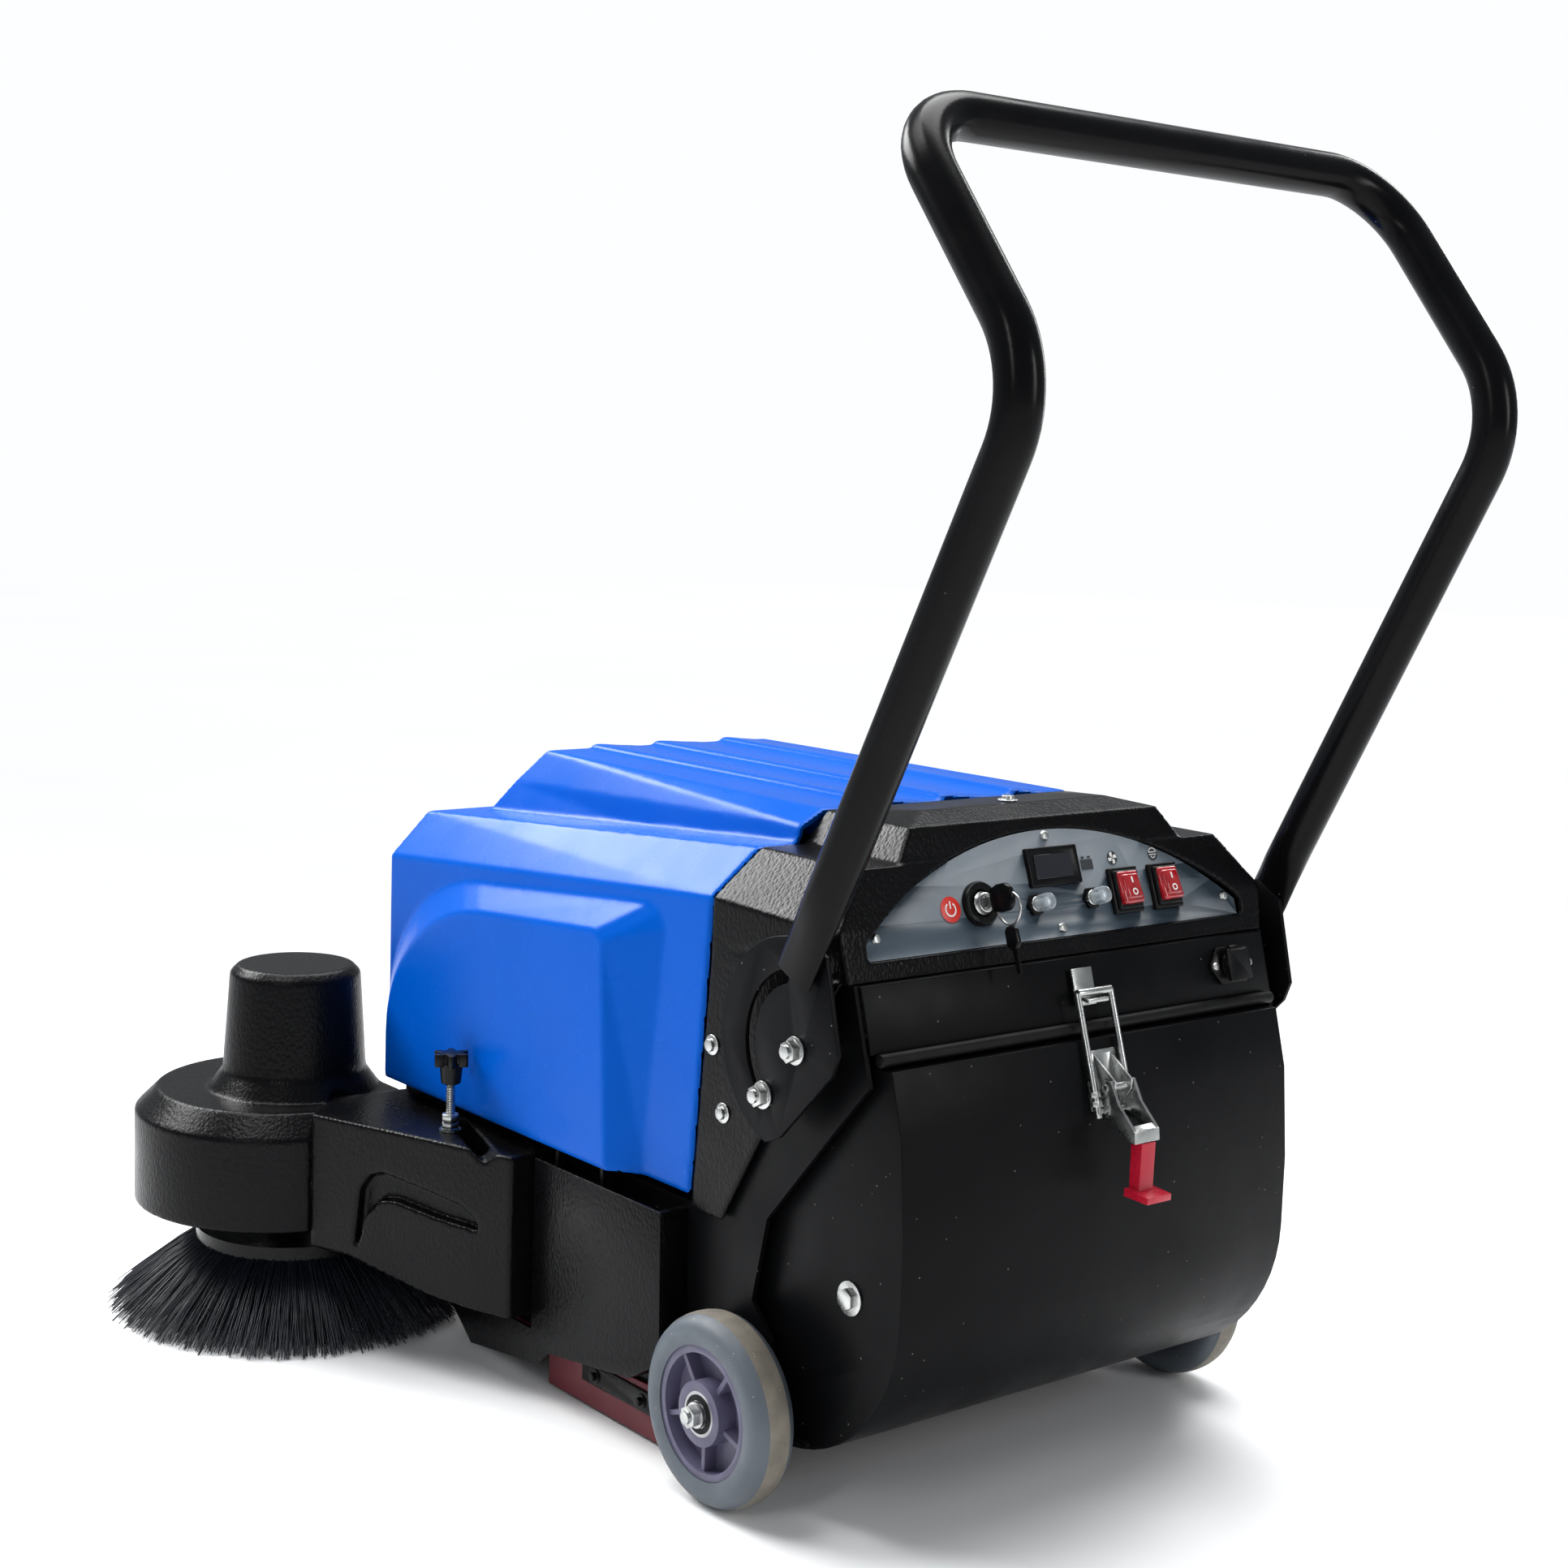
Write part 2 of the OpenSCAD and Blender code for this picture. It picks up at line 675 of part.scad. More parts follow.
// Hollow arm that carries the side brush, pivoting on the chassis at its rear end
module brush_arm() {
    outer = concat(seam, [[-228, 266.6], [-270, 266.6]]);
    inner = [[-326, 468], [-296, 503], [-236, 500], [-236, 274], [-258, 274]];
    belly = [[530, 60], [530, 87], [432, 87], [398, 80], [349, 71], [310, 68], [240, 68], [240, 60]];
    grip = [
        [50, 100], [56, 151], [66, 164], [80, 169], [125, 163], [167, 156], [181, 148], [187, 138],
        [141, 141], [94, 147], [78, 144], [62, 128], [54, 100]
    ];
    color([0.05, 0.05, 0.06])
        difference() {
            union() {
                difference() {
                    translate([0, 0, 66]) linear_extrude(arm_top - 66) polygon(outer);
                    translate([0, 0, 60]) linear_extrude(arm_top - 64) polygon(inner);
                    translate([-300, 290, arm_top]) rotate([0, 45, -19.4]) translate([-40, -60, 6]) cube([60, 320, 40]);
                    side_view(-370, 150) polygon(belly);
                    translate([seam[0][0], seam[0][1], 0]) rotate([0, 0, -70.6]) translate([0, 10, 0])
                        rotate([90, 0, 0]) linear_extrude(11) polygon(grip);
                }
                bar(12, -250, 20, arm_pin);
                translate([knob_at[0] - 8, knob_at[1] - 8, arm_top - 20]) cube([16, 16, 17]);
            }
            bar(arm_pin_r + fit, -264, 40, arm_pin);
            translate([knob_at[0], knob_at[1], 170]) cylinder(r = 4 + fit, h = 50);
        }
}

// Round cover over the side brush, with the dome over its motor
module brush_cover() {
    color([0.05, 0.05, 0.06])
        difference() {
            union() {
                translate([drum_at[0], drum_at[1], 0])
                    rotate_extrude($fn = 96) polygon([
                        [62, 198], [62, 204], [112, 204], [drum_r, 184], [drum_r, 100],
                        [drum_r - 4, 100], [drum_r - 4, 182], [110, 198]
                    ]);
                translate([spin_at[0], spin_at[1], 0])
                    rotate_extrude($fn = 96) polygon([
                        [0, 318], [52, 318], [59, 311], [65, 222], [78, 203.9], [84, 203.9], [84, 198.1],
                        [70, 198.1], [60, 220], [54, 308], [49, 313], [0, 313]
                    ]);
            }
            translate([-228, 400, 90]) cube([200, 400, 115]);
            translate([0, 0, 80]) linear_extrude(140)
                polygon(concat([for (p = seam) p + [0.3, 0.3]], [[-200, 508], [-200, 420], [-345, 420]]));
        }
}

// Geared motor inside the dome, its shaft pointing down
module side_motor() {
    color([0.35, 0.35, 0.37])
        translate([spin_at[0], spin_at[1], 0]) {
            translate([0, 0, 150]) cylinder(r = 40, h = 150);
            translate([-50, -30, 120]) cube([76, 60, 30.1]);
            translate([0, 0, 86]) cylinder(r = 6, h = 40);
            translate([-20, -62, 128]) cube([40, 60, 6]);
        }
}

// Star knob on its threaded stud, with the two nuts at the arm
module height_knob() {
    color([0.06, 0.06, 0.07])
        translate([knob_at[0], knob_at[1], 0])
            union() {
                translate([0, 0, 262]) cylinder(r = 12, h = 15);
                for (i = [0:5]) rotate([0, 0, i * 60]) translate([12.4, 0, 268]) cylinder(r = 5.2, h = 9);
                translate([0, 0, 250]) cylinder(r = 9, h = 14);
                translate([0, 0, 180]) cylinder(r = 4, h = 76);
                translate([0, 0, arm_top + 0.4]) cylinder(r = 9.5, h = 1.6);
                for (z = [1.9, 9]) translate([0, 0, arm_top + z]) cylinder(r = 8, h = 6, $fn = 6);
            }
}

module side_disc() {
    color([0.1, 0.1, 0.11])
        translate([spin_at[0], spin_at[1], 0])
            difference() {
                union() {
                    translate([0, 0, 64]) cylinder(r = 88, h = 12);
                    translate([0, 0, 70]) cylinder(r = 22, h = 42);
                }
                translate([0, 0, 80]) cylinder(r = 6 + fit, h = 40);
            }
}

// Ring of bristles that flares out to the floor
module side_bristles() {
    color([0.05, 0.06, 0.08])
        translate([spin_at[0], spin_at[1], 0])
            rotate_extrude($fn = 96)
                polygon([[52, 63.9], [84, 63.9], [side_brush_r, 12], [side_brush_r, 0], [112, 0]]);
}

// Outline of the bin in the side view, drawn t inside its outer skin
function bin_back(t) = concat(
    [[-134.6 + t, 360.6], [-147.3 + t, 314], [-154 + t, 240]],
    arc([-20, 182], 134.5 - t, 180, 270, 14)
);

// Dust bin: folded sheet with closed sides, open towards the roller
module bin_shell() {
    front = [[55, 47.5], [55, 62], [50, 100], [20, 200], [-60, 356], [-60, 360.6]];
    mouth = [[60, 49.5], [60, 365], [-134.6 + bin_t, 365]];
    color([0.06, 0.06, 0.07]) {
        difference() {
            side_view(-bin_x, 2 * bin_x) polygon(concat(bin_back(0), front));
            side_view(-bin_x + bin_t, 2 * (bin_x - bin_t)) polygon(concat(bin_back(bin_t), mouth));
        }
        side_view(-bin_x + 1, 2 * bin_x - 2) polygon([[-134, 358.6], [-100, 358.6], [-100, 360.6], [-134.6, 360.6]]);
        both_sides() translate([bin_x - 0.1, -60, 56]) cube([4, 92, 3]);
    }
}

// Cross tube inside the bin with its bolts and big washers
module bin_bolts() {
    at = [-100, 184];
    color([0.7, 0.69, 0.66]) {
        bar(11, -bin_x + bin_t + 0.1, 2 * (bin_x - bin_t) - 0.2, at);
        both_sides() {
            bar(13, bin_x + 0.1, 1.8, at);
            hexagon(8.5, bin_x + 1.9, 5, at);
        }
    }
}

// Base plate of the toggle latch, riveted to the bin, with two ears for the lever's pin
module latch_base() {
    ear = [[-137.5, 352], [-148.5, 309], [-158, 318], [-164, 326], [-164, 334], [-152, 342]];
    color([0.8, 0.82, 0.82]) {
        side_view(-15, 30) polygon([[-137.6, 352.5], [-149.2, 308.5], [-151.2, 309], [-139.6, 353]]);
        side_view(-19, 38) polygon([[-143.4, 330.5], [-149.2, 308.5], [-151.2, 309], [-145.4, 331]]);
        difference() {
            both_sides() side_view(8, 2) polygon(ear);
            bar(3 + fit, -30, 60, lever_at);
        }
    }
}

// Lever of the latch with its pins
module latch_lever() {
    cheek = [[-153, 334], [-163, 334], [-172, 318], [-189, 302], [-191, 292], [-182, 292], [-168, 303], [-151, 304]];
    color([0.8, 0.82, 0.82]) {
        difference() {
            union() {
                for (x = [-13.5, 11]) side_view(x, 2.5) polygon(cheek);
                side_view(-13.5, 27) polygon([[-184, 304], [-190, 301], [-191, 292], [-183, 292]]);
                side_view(-5, 10) polygon([[-184, 296], [-190, 296], [-190, 254], [-184, 254]]);
            }
            bar(2.5 + fit, -30, 60, bail_at);
        }
        bar(3, -15, 30, lever_at);
    }
}

// Dipped grip at the lever's end, with its small toe
module latch_grip() {
    color([0.75, 0.06, 0.15])
        difference() {
            union() {
                side_view(-7.5, 15) polygon([[-181.5, 291.5], [-192.5, 291.5], [-192, 250], [-182, 250]]);
                side_view(-13, 26) polygon([[-182, 256], [-182, 250], [-206, 249], [-206, 254]]);
            }
            side_view(-5.02, 10.04) polygon([[-184, 300], [-190.02, 300], [-190.02, 253.9], [-183.98, 253.9]]);
        }
}

// Bail: two rods from the lever's pin up to the bar that lies on the catch
module latch_bail() {
    reach = hook_at - bail_at;
    length = norm(reach);
    lean = atan2(-reach[0], reach[1]);
    color([0.8, 0.82, 0.82]) {
        for (x = [-18, 18])
            translate([x, bail_at[0], bail_at[1]]) rotate([lean, 0, 0]) {
                translate([0, 0, -5]) cylinder(r = 2.5, h = length + 5);
                translate([0, 0, 4]) cylinder(r = 4.2, h = 4, $fn = 6);
                translate([0, 0, 11]) cylinder(r = 4.2, h = 4, $fn = 6);
            }
        bar(2.5, -20, 40, bail_at);
        bar(3, -18, 36, hook_at);
    }
}

module key() {
    color([0.05, 0.05, 0.06])
        on_panel(-82, 25.6) {
            translate([0, 0, -2]) cylinder(r = 5, h = 11);
            translate([-1.2, -4, 8]) cube([2.4, 8, 12]);
            translate([-2.5, -10, 18]) cube([5, 20, 22]);
        }
}

// Tilting button of a rocker switch, drawn at its pivot
module rocker(x) {
    color([0.65, 0.02, 0.04])
        on_panel(x, 23) translate([0, 0, 1]) rotate([-7, 0, 0]) {
            translate([-9.5, -9.4, -1]) cube([19, 18.8, 11]);
            translate([-9.5, 0, 0]) rotate([0, 90, 0]) cylinder(r = 3, h = 19);
        }
}

module fan_rocker() rocker(74.8);
module brush_rocker() rocker(121);

// Push-to-reset button of a thermal breaker
module breaker(x) {
    color([0.85, 0.87, 0.88])
        on_panel(x, 20) {
            translate([0, 0, -1]) cylinder(r = 3.5, h = 20);
            translate([0, 0, 11]) cylinder(r = 6.5, h = 9);
        }
}

module fan_breaker() breaker(-25);
module brush_breaker() breaker(36.5);

// Corners of the hood's three forms; t moves them inwards for the hollow, which runs out at the back and below
function hood_base(t) = [
    [hood_x - t, 75 - 2 * t, hood_z - t], [hood_x - t, 57 - 2 * t, 459], [194 - t, 45 - 2 * t, 497 - t],
    [hood_x - t, 542 - t, hood_z - t], [hood_x - t, 542 - t, 420], [200 - t, 527 - t, 461 - t]
];

function hood_top(t) = [
    [167 - t, 44 - 2 * t, 470], [133 - t, 42 - 2 * t, 523 - t], [156 - t, 42 - 2 * t, 511 - t],
    [159 - t, 500 - 2 * t, 455], [142 - t, 472 - 2 * t, 492 - t], [126 - t, 444 - 2 * t, 523 - t]
];

function hood_pad(t) = [
    [200, 512 - t, hood_z - t], [200, 150 + t, hood_z - t],
    [pad_x - t, 512 - t, hood_z - t], [pad_x - t, 162 + t, hood_z - t],
    [hood_x, 512, hood_z - t], [hood_x - 2, 134 + t, hood_z - t],
    [pad_x - t, 166 + t, 412 - t], [hood_x - 2, 110 + t, 440 - t],
    [pad_x - t, 335, 400 - t], [hood_x - 2, 372, 428 - t],
    [pad_x - t, 440, 370 - t], [hood_x - 2, 470, 390 - t],
    [pad_x - t, 506 - t, 300 - t], [hood_x - 2, 534 - t, 330 - t]
];

// Moulded hood: flat sides with a raised pad, a sloping shoulder and a raised top
module hood() {
    color([0.02, 0.35, 0.85])
        difference() {
            union() {
                mirrored_solid(hood_base(0));
                mirrored_solid(hood_top(0));
                mirrored_solid(hood_pad(0));
            }
            mirrored_solid(hood_base(wall));
            mirrored_solid(hood_top(wall));
            mirrored_solid(hood_pad(wall));
        }
}

// Two knuckles inside the hood's front wall that turn on the chassis pins
module hood_hinges() {
    color([0.1, 0.1, 0.11])
        both_sides()
            difference() {
                union() {
                    bar(8, 130, 18, hood_hinge);
                    side_view(130, 18) polygon([[526, 222], [536.8, 222], [536.8, 234], [526, 234]]);
                }
                bar(hinge_pin_r + fit, 129, 20, hood_hinge);
            }
}

translate(middle) chassis_frame();
translate(middle) rear_plate();
translate(middle) brush_tunnel();
translate(middle) rear_housing();
translate(middle) control_panel();
translate(middle) battery_meter();
translate(middle) panel_screws();
translate(middle) housing_screws();
translate(middle) key_switch();
translate(middle) switch_frames();
translate(middle) charge_socket();
translate(middle) latch_catch();
translate(middle) bin_seal();
translate(middle) axle_bolts();
translate(middle) handle_bolts();
translate(middle) side_covers();
translate(middle) rubber_skirts();
translate(middle) skirt_strips();
translate(middle) drive_motor();
translate(middle) drive_belt();
translate(middle) battery();
translate(middle) dust_filter();
translate(middle) fan_housing();
translate(middle) brush_bearings();
translate(middle) handle_tube();
translate(middle) handle_crossbar();
translate(middle) handle_plates();
translate(middle) left_tyre();
translate(middle) left_rim();
translate(middle) left_bearings();
translate(middle) right_tyre();
translate(middle) right_rim();
translate(middle) right_bearings();
translate(middle) caster_fork();
translate(middle) caster_wheel();
translate(middle) roller_core();
translate(middle) roller_bristles();
translate(middle) roller_pulley();
translate(middle) motor_pulley();
translate(middle) brush_arm();
translate(middle) brush_cover();
translate(middle) side_motor();
translate(middle) height_knob();
translate(middle) side_disc();
translate(middle) side_bristles();
translate(middle) bin_shell();
translate(middle) bin_bolts();
translate(middle) latch_base();
translate(middle) latch_lever();
translate(middle) latch_grip();
translate(middle) latch_bail();
translate(middle) key();
translate(middle) fan_rocker();
translate(middle) brush_rocker();
translate(middle) fan_breaker();
translate(middle) brush_breaker();
translate(middle) socket_flap();
translate(middle) hood();
translate(middle) hood_hinges();
translate(middle) fan_impeller();
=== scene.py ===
import math
import random

import bpy
from mathutils import Matrix, Vector


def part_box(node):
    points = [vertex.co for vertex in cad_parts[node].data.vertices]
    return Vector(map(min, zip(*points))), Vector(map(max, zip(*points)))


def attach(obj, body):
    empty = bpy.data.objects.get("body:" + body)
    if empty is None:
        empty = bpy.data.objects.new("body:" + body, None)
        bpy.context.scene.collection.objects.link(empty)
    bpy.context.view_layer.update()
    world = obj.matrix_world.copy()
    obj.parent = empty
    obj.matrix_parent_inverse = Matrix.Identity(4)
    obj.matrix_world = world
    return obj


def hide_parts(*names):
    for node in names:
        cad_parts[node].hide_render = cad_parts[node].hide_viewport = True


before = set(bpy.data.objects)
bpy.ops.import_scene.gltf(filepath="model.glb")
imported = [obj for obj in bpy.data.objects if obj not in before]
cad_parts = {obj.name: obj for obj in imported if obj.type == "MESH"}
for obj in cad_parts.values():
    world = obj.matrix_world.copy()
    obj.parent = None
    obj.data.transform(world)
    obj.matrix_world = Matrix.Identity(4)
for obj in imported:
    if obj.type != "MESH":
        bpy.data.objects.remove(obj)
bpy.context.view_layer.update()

# Camera: behind the machine on its left, about two metres away and at hip height.
# Its three turns are in radians, and every size below is in millimetres from the floor point midway
# between the main wheels.
mm = 0.001
left_tyre_box, right_tyre_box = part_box("left_tyre"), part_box("right_tyre")
axle = Vector((
    (left_tyre_box[0][0] + right_tyre_box[1][0]) / 2,
    (left_tyre_box[0][1] + left_tyre_box[1][1]) / 2,
    0,
))
to_frame = Matrix.Translation(axle) @ Matrix.Scale(mm, 4)
swing, tip, lean = -0.685, 0.131, 0.036
behind = Vector((math.sin(swing) * math.cos(tip), -math.cos(swing) * math.cos(tip), math.sin(tip)))
level = (-behind).cross(Vector((0, 0, 1))).normalized()
above = level.cross(-behind)
across = math.cos(lean) * level + math.sin(lean) * above
upward = -math.sin(lean) * level + math.cos(lean) * above
bpy.ops.object.select_all(action="DESELECT")
bpy.ops.object.camera_add()
camera = bpy.context.object
camera.name = "viewpoint"
camera.data.lens = 55.946
camera.data.sensor_width = 36
camera.data.clip_end = 60
spot = to_frame @ Vector((-1348.5, -1394.1, 789.1))
camera.matrix_world = Matrix((
    (across.x, upward.x, behind.x, spot.x),
    (across.y, upward.y, behind.y, spot.y),
    (across.z, upward.z, behind.z, spot.z),
    (0, 0, 0, 1),
))
bpy.context.scene.camera = camera

# Studio: soft boxes above, in front and behind, a strip on each side, wide even daylight, bright air
# round the machine and a pale floor that takes its shadow.


def soft_box(name, place, aim, width, height, watts):
    bpy.ops.object.light_add(type="AREA", location=to_frame @ Vector(place))
    lamp = bpy.context.object
    lamp.name = name
    lamp.data.shape = "RECTANGLE"
    lamp.data.size = width
    lamp.data.size_y = height
    lamp.data.energy = watts
    lamp.data.spread = math.radians(75)
    lamp.rotation_euler = (Vector(aim) - Vector(place)).to_track_quat("-Z", "Y").to_euler()


soft_box("overhead_box", (-700, 700, 2500), (-100, 250, 300), 1.4, 1.0, 6)
soft_box("front_box", (-900, 2250, 1950), (-200, 250, 400), 2.4, 0.9, 24)
soft_box("left_strip", (-2300, -900, 1700), (0, 100, 350), 0.25, 1.2, 1.5)
soft_box("rear_box", (900, -2400, 1300), (0, 0, 450), 0.4, 1.2, 3)
soft_box("right_strip", (2400, 600, 1500), (0, 200, 500), 0.4, 1.8, 4)
bpy.ops.object.light_add(type="SUN", location=to_frame @ Vector((1200, 900, 3200)))
sky_light = bpy.context.object
sky_light.name = "sky_light"
sky_light.data.energy = 2.9
sky_light.data.angle = math.radians(45)
sky_light.rotation_euler = Vector((-0.42, -0.3, -1)).to_track_quat("-Z", "Y").to_euler()
bpy.context.scene.world = bpy.data.worlds.new("studio_air")
bpy.context.scene.world.use_nodes = True
air_nodes, air_links = bpy.context.scene.world.node_tree.nodes, bpy.context.scene.world.node_tree.links
seen_air, lit_air = air_nodes["Background"], air_nodes.new("ShaderNodeBackground")
seen_air.inputs["Color"].default_value = (0.985, 0.99, 1.0, 1)
lit_air.inputs["Color"].default_value = (0.9, 0.95, 1.0, 1)
lit_air.inputs["Strength"].default_value = 0.3
air_mix, rays = air_nodes.new("ShaderNodeMixShader"), air_nodes.new("ShaderNodeLightPath")
air_links.new(rays.outputs["Is Camera Ray"], air_mix.inputs["Fac"])
air_links.new(lit_air.outputs["Background"], air_mix.inputs[1])
air_links.new(seen_air.outputs["Background"], air_mix.inputs[2])
air_links.new(air_mix.outputs["Shader"], air_nodes["World Output"].inputs["Surface"])
bpy.context.scene.view_settings.view_transform = "Standard"


def finish(name, colour, roughness, shade=0.8, patches=9, grain=(), dust=None, **shader_values):
    """A surface with two close shades in patches, a roughness that varies, bumps and fine specks."""
    material = bpy.data.materials.new(name)
    material.use_nodes = True
    nodes, links = material.node_tree.nodes, material.node_tree.links
    shader = nodes["Principled BSDF"]
    place = nodes.new("ShaderNodeTexCoord").outputs["Object"]

    def texture(kind, scale, output, stretch=(1, 1, 1), **sockets):
        mapping = nodes.new("ShaderNodeMapping")
        mapping.inputs["Scale"].default_value = [scale * s for s in stretch]
        links.new(place, mapping.inputs["Vector"])
        node = nodes.new(kind)
        node.inputs["Scale"].default_value = 1
        for socket, value in sockets.items():
            node.inputs[socket].default_value = value
        links.new(mapping.outputs["Vector"], node.inputs["Vector"])
        return node.outputs[output]

    def ramp(value, low, high, first, last):
        node = nodes.new("ShaderNodeValToRGB")
        ends = node.color_ramp.elements
        ends[0].position, ends[1].position = low, high
        ends[0].color, ends[1].color = (*first, 1), (*last, 1)
        links.new(value, node.inputs["Fac"])
        return node.outputs["Color"]

    tone = ramp(
        texture("ShaderNodeTexNoise", patches, "Fac", Detail=5.0), 0.38, 0.62, [c * shade for c in colour], colour
    )
    if dust:
        specks, cells, reach = dust
        dots = ramp(
            texture("ShaderNodeTexVoronoi", cells, "Distance"), reach, reach * 1.6, (1, 1, 1), (0, 0, 0)
        )
        mix = nodes.new("ShaderNodeMix")
        mix.data_type = "RGBA"
        links.new(dots, mix.inputs["Factor"])
        links.new(tone, mix.inputs["A"])
        mix.inputs["B"].default_value = (*specks, 1)
        tone = mix.outputs["Result"]
    links.new(tone, shader.inputs["Base Color"])
    spread = nodes.new("ShaderNodeMapRange")
    links.new(texture("ShaderNodeTexNoise", patches * 3.1, "Fac", Detail=4.0), spread.inputs["Value"])
    spread.inputs["From Min"].default_value, spread.inputs["From Max"].default_value = 0.3, 0.7
    spread.inputs["To Min"].default_value, spread.inputs["To Max"].default_value = roughness
    links.new(spread.outputs["Result"], shader.inputs["Roughness"])
    normal = None
    for kind, cells, depth, stretch in grain:
        bump = nodes.new("ShaderNodeBump")
        bump.inputs["Distance"].default_value = depth * mm
        source = ("ShaderNodeTexVoronoi", "Distance") if kind == "cells" else ("ShaderNodeTexNoise", "Fac")
        bump.invert = kind == "cells"
        links.new(texture(source[0], cells, source[1], stretch), bump.inputs["Height"])
        if normal:
            links.new(normal, bump.inputs["Normal"])
        normal = bump.outputs["Normal"]
    if normal:
        links.new(normal, shader.inputs["Normal"])
    for socket, value in shader_values.items():
        shader.inputs[socket.replace("_", " ")].default_value = value
    return material


even = (1, 1, 1)
bpy.ops.object.select_all(action="DESELECT")
bpy.ops.mesh.primitive_circle_add(vertices=96, radius=14, fill_type="NGON", location=(axle.x, axle.y, -0.0005))
floor = bpy.context.object
floor.name = "studio_floor"
floor.data.materials.append(finish("pale_floor", (0.92, 0.925, 0.93), (0.6, 0.75), 0.99, 0.6))

# Chassis: side plates, cross members and battery tray folded from 4 mm steel, welded, and powder coated
# satin black. The brush tunnel and the sloping rear plate are 2 mm sheet in the same coat.


def carry(material, *names):
    """Gives frame solids that stay as they are their finish."""
    for name in names:
        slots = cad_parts[name].data.materials
        slots.clear()
        slots.append(material)


powder_coat = finish(
    "black_powder_coat", (0.0032, 0.0034, 0.004), (0.3, 0.44), 0.7, 6,
    [("noise", 900, 0.05, even), ("noise", 60, 0.1, even)],
    ((0.12, 0.12, 0.11), 70, 0.035), Specular_IOR_Level=0.07,
)
carry(powder_coat, "chassis_frame", "brush_tunnel", "roller_core")


def pick(piece):
    if bpy.context.object and bpy.context.object.mode != "OBJECT":
        bpy.ops.object.mode_set(mode="OBJECT")
    bpy.ops.object.select_all(action="DESELECT")
    piece.select_set(True)
    bpy.context.view_layer.objects.active = piece


weld = 0.01


def work(piece, kind, **settings):
    """Adds one modifier and applies it."""
    pick(piece)
    modifier = piece.modifiers.new(kind.title(), kind)
    for setting, value in settings.items():
        setattr(modifier, setting, value)
    bpy.ops.object.modifier_apply(modifier=modifier.name)
    return piece


def copy_solid(node, name):
    """A merged copy of a frame solid, in millimetres."""
    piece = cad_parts[node].copy()
    piece.data = piece.data.copy()
    piece.name = piece.data.name = name
    piece.parent = None
    piece.matrix_world = Matrix()
    bpy.context.collection.objects.link(piece)
    piece.data.transform(to_frame.inverted())
    piece.data.materials.clear()
    pick(piece)
    bpy.ops.object.mode_set(mode="EDIT")
    bpy.ops.mesh.select_all(action="SELECT")
    bpy.ops.mesh.remove_doubles(threshold=weld)
    bpy.ops.mesh.dissolve_limited(angle_limit=math.radians(0.5))
    bpy.ops.object.mode_set(mode="OBJECT")
    return piece


def ease_edges(piece, width, steps=2, angle=32):
    """Rounds the edges sharper than an angle, and shades the rest smooth."""
    work(
        piece, "BEVEL", width=width, segments=steps, limit_method="ANGLE", angle_limit=math.radians(angle),
        harden_normals=False, miter_outer="MITER_ARC",
    )
    pick(piece)
    bpy.ops.object.shade_smooth_by_angle(angle=math.radians(38))
    return piece


def settle(piece, name, material, body, slot, *nodes):
    """Puts a finished piece in its place, in metres, with its finish and body. The slot is not used."""
    pick(piece)
    bpy.ops.object.transform_apply(location=True, rotation=True, scale=True)
    piece.name = piece.data.name = name
    piece.data.transform(to_frame)
    piece.data.materials.clear()
    piece.data.materials.append(material)
    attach(piece, body)
    if nodes:
        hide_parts(*nodes)
    return piece


def refine(node, name, width, material, body, slot, steps=2):
    """A frame solid with its edges rounded, settled where it is."""
    return settle(ease_edges(copy_solid(node, name), width, steps), name, material, body, slot, node)


refine("rear_plate", "rear_sheet", 0.8, powder_coat, "chassis", "black_steel")

# Hood: one rotomoulded polyethylene shell, 5 mm thick, with raised side pads, a sloping shoulder
# and a ridged top. Its edges are all rounded by the mould, and the skin has a very fine grain.


def cut_sheet(outline, low, high, axis="x", ease=0.5):
    """A sheet cut to an outline and drawn out along an axis, with eased edges."""
    order = {
        "x": lambda a, b, c: (c, a, b),
        "y": lambda a, b, c: (a, c, b),
        "z": lambda a, b, c: (a, b, c),
    }[axis]
    bpy.ops.object.select_all(action="DESELECT")
    bpy.ops.mesh.primitive_circle_add(vertices=len(outline), fill_type="NGON")
    piece = bpy.context.object
    for vertex, (a, b) in zip(piece.data.vertices, outline):
        vertex.co = order(a, b, low)
    bpy.ops.object.mode_set(mode="EDIT")
    bpy.ops.mesh.select_all(action="SELECT")
    bpy.ops.mesh.extrude_region_move(TRANSFORM_OT_translate={"value": order(0, 0, high - low)})
    bpy.ops.mesh.select_all(action="SELECT")
    bpy.ops.mesh.normals_make_consistent(inside=False)
    bpy.ops.object.mode_set(mode="OBJECT")
    return ease_edges(piece, ease) if ease else piece


blue_skin = finish(
    "blue_polyethylene", (0.0, 0.082, 0.47), (0.22, 0.32), 0.93, 5,
    [("cells", 700, 0.05, even), ("noise", 90, 0.06, even)], Specular_IOR_Level=0.1,
    Specular_Tint=(0.45, 0.75, 1, 1),
)


def wrapped(points):
    """The convex solid round some points and their mirror images."""
    points = points + [(-x, y, z) for x, y, z in points]
    bpy.ops.object.select_all(action="DESELECT")
    bpy.ops.mesh.primitive_circle_add(vertices=len(points), fill_type="NOTHING")
    piece = bpy.context.object
    for vertex, point in zip(piece.data.vertices, points):
        vertex.co = point
    bpy.ops.object.mode_set(mode="EDIT")
    bpy.ops.mesh.select_all(action="SELECT")
    bpy.ops.mesh.convex_hull(use_existing_faces=False)
    bpy.ops.object.mode_set(mode="OBJECT")
    return piece


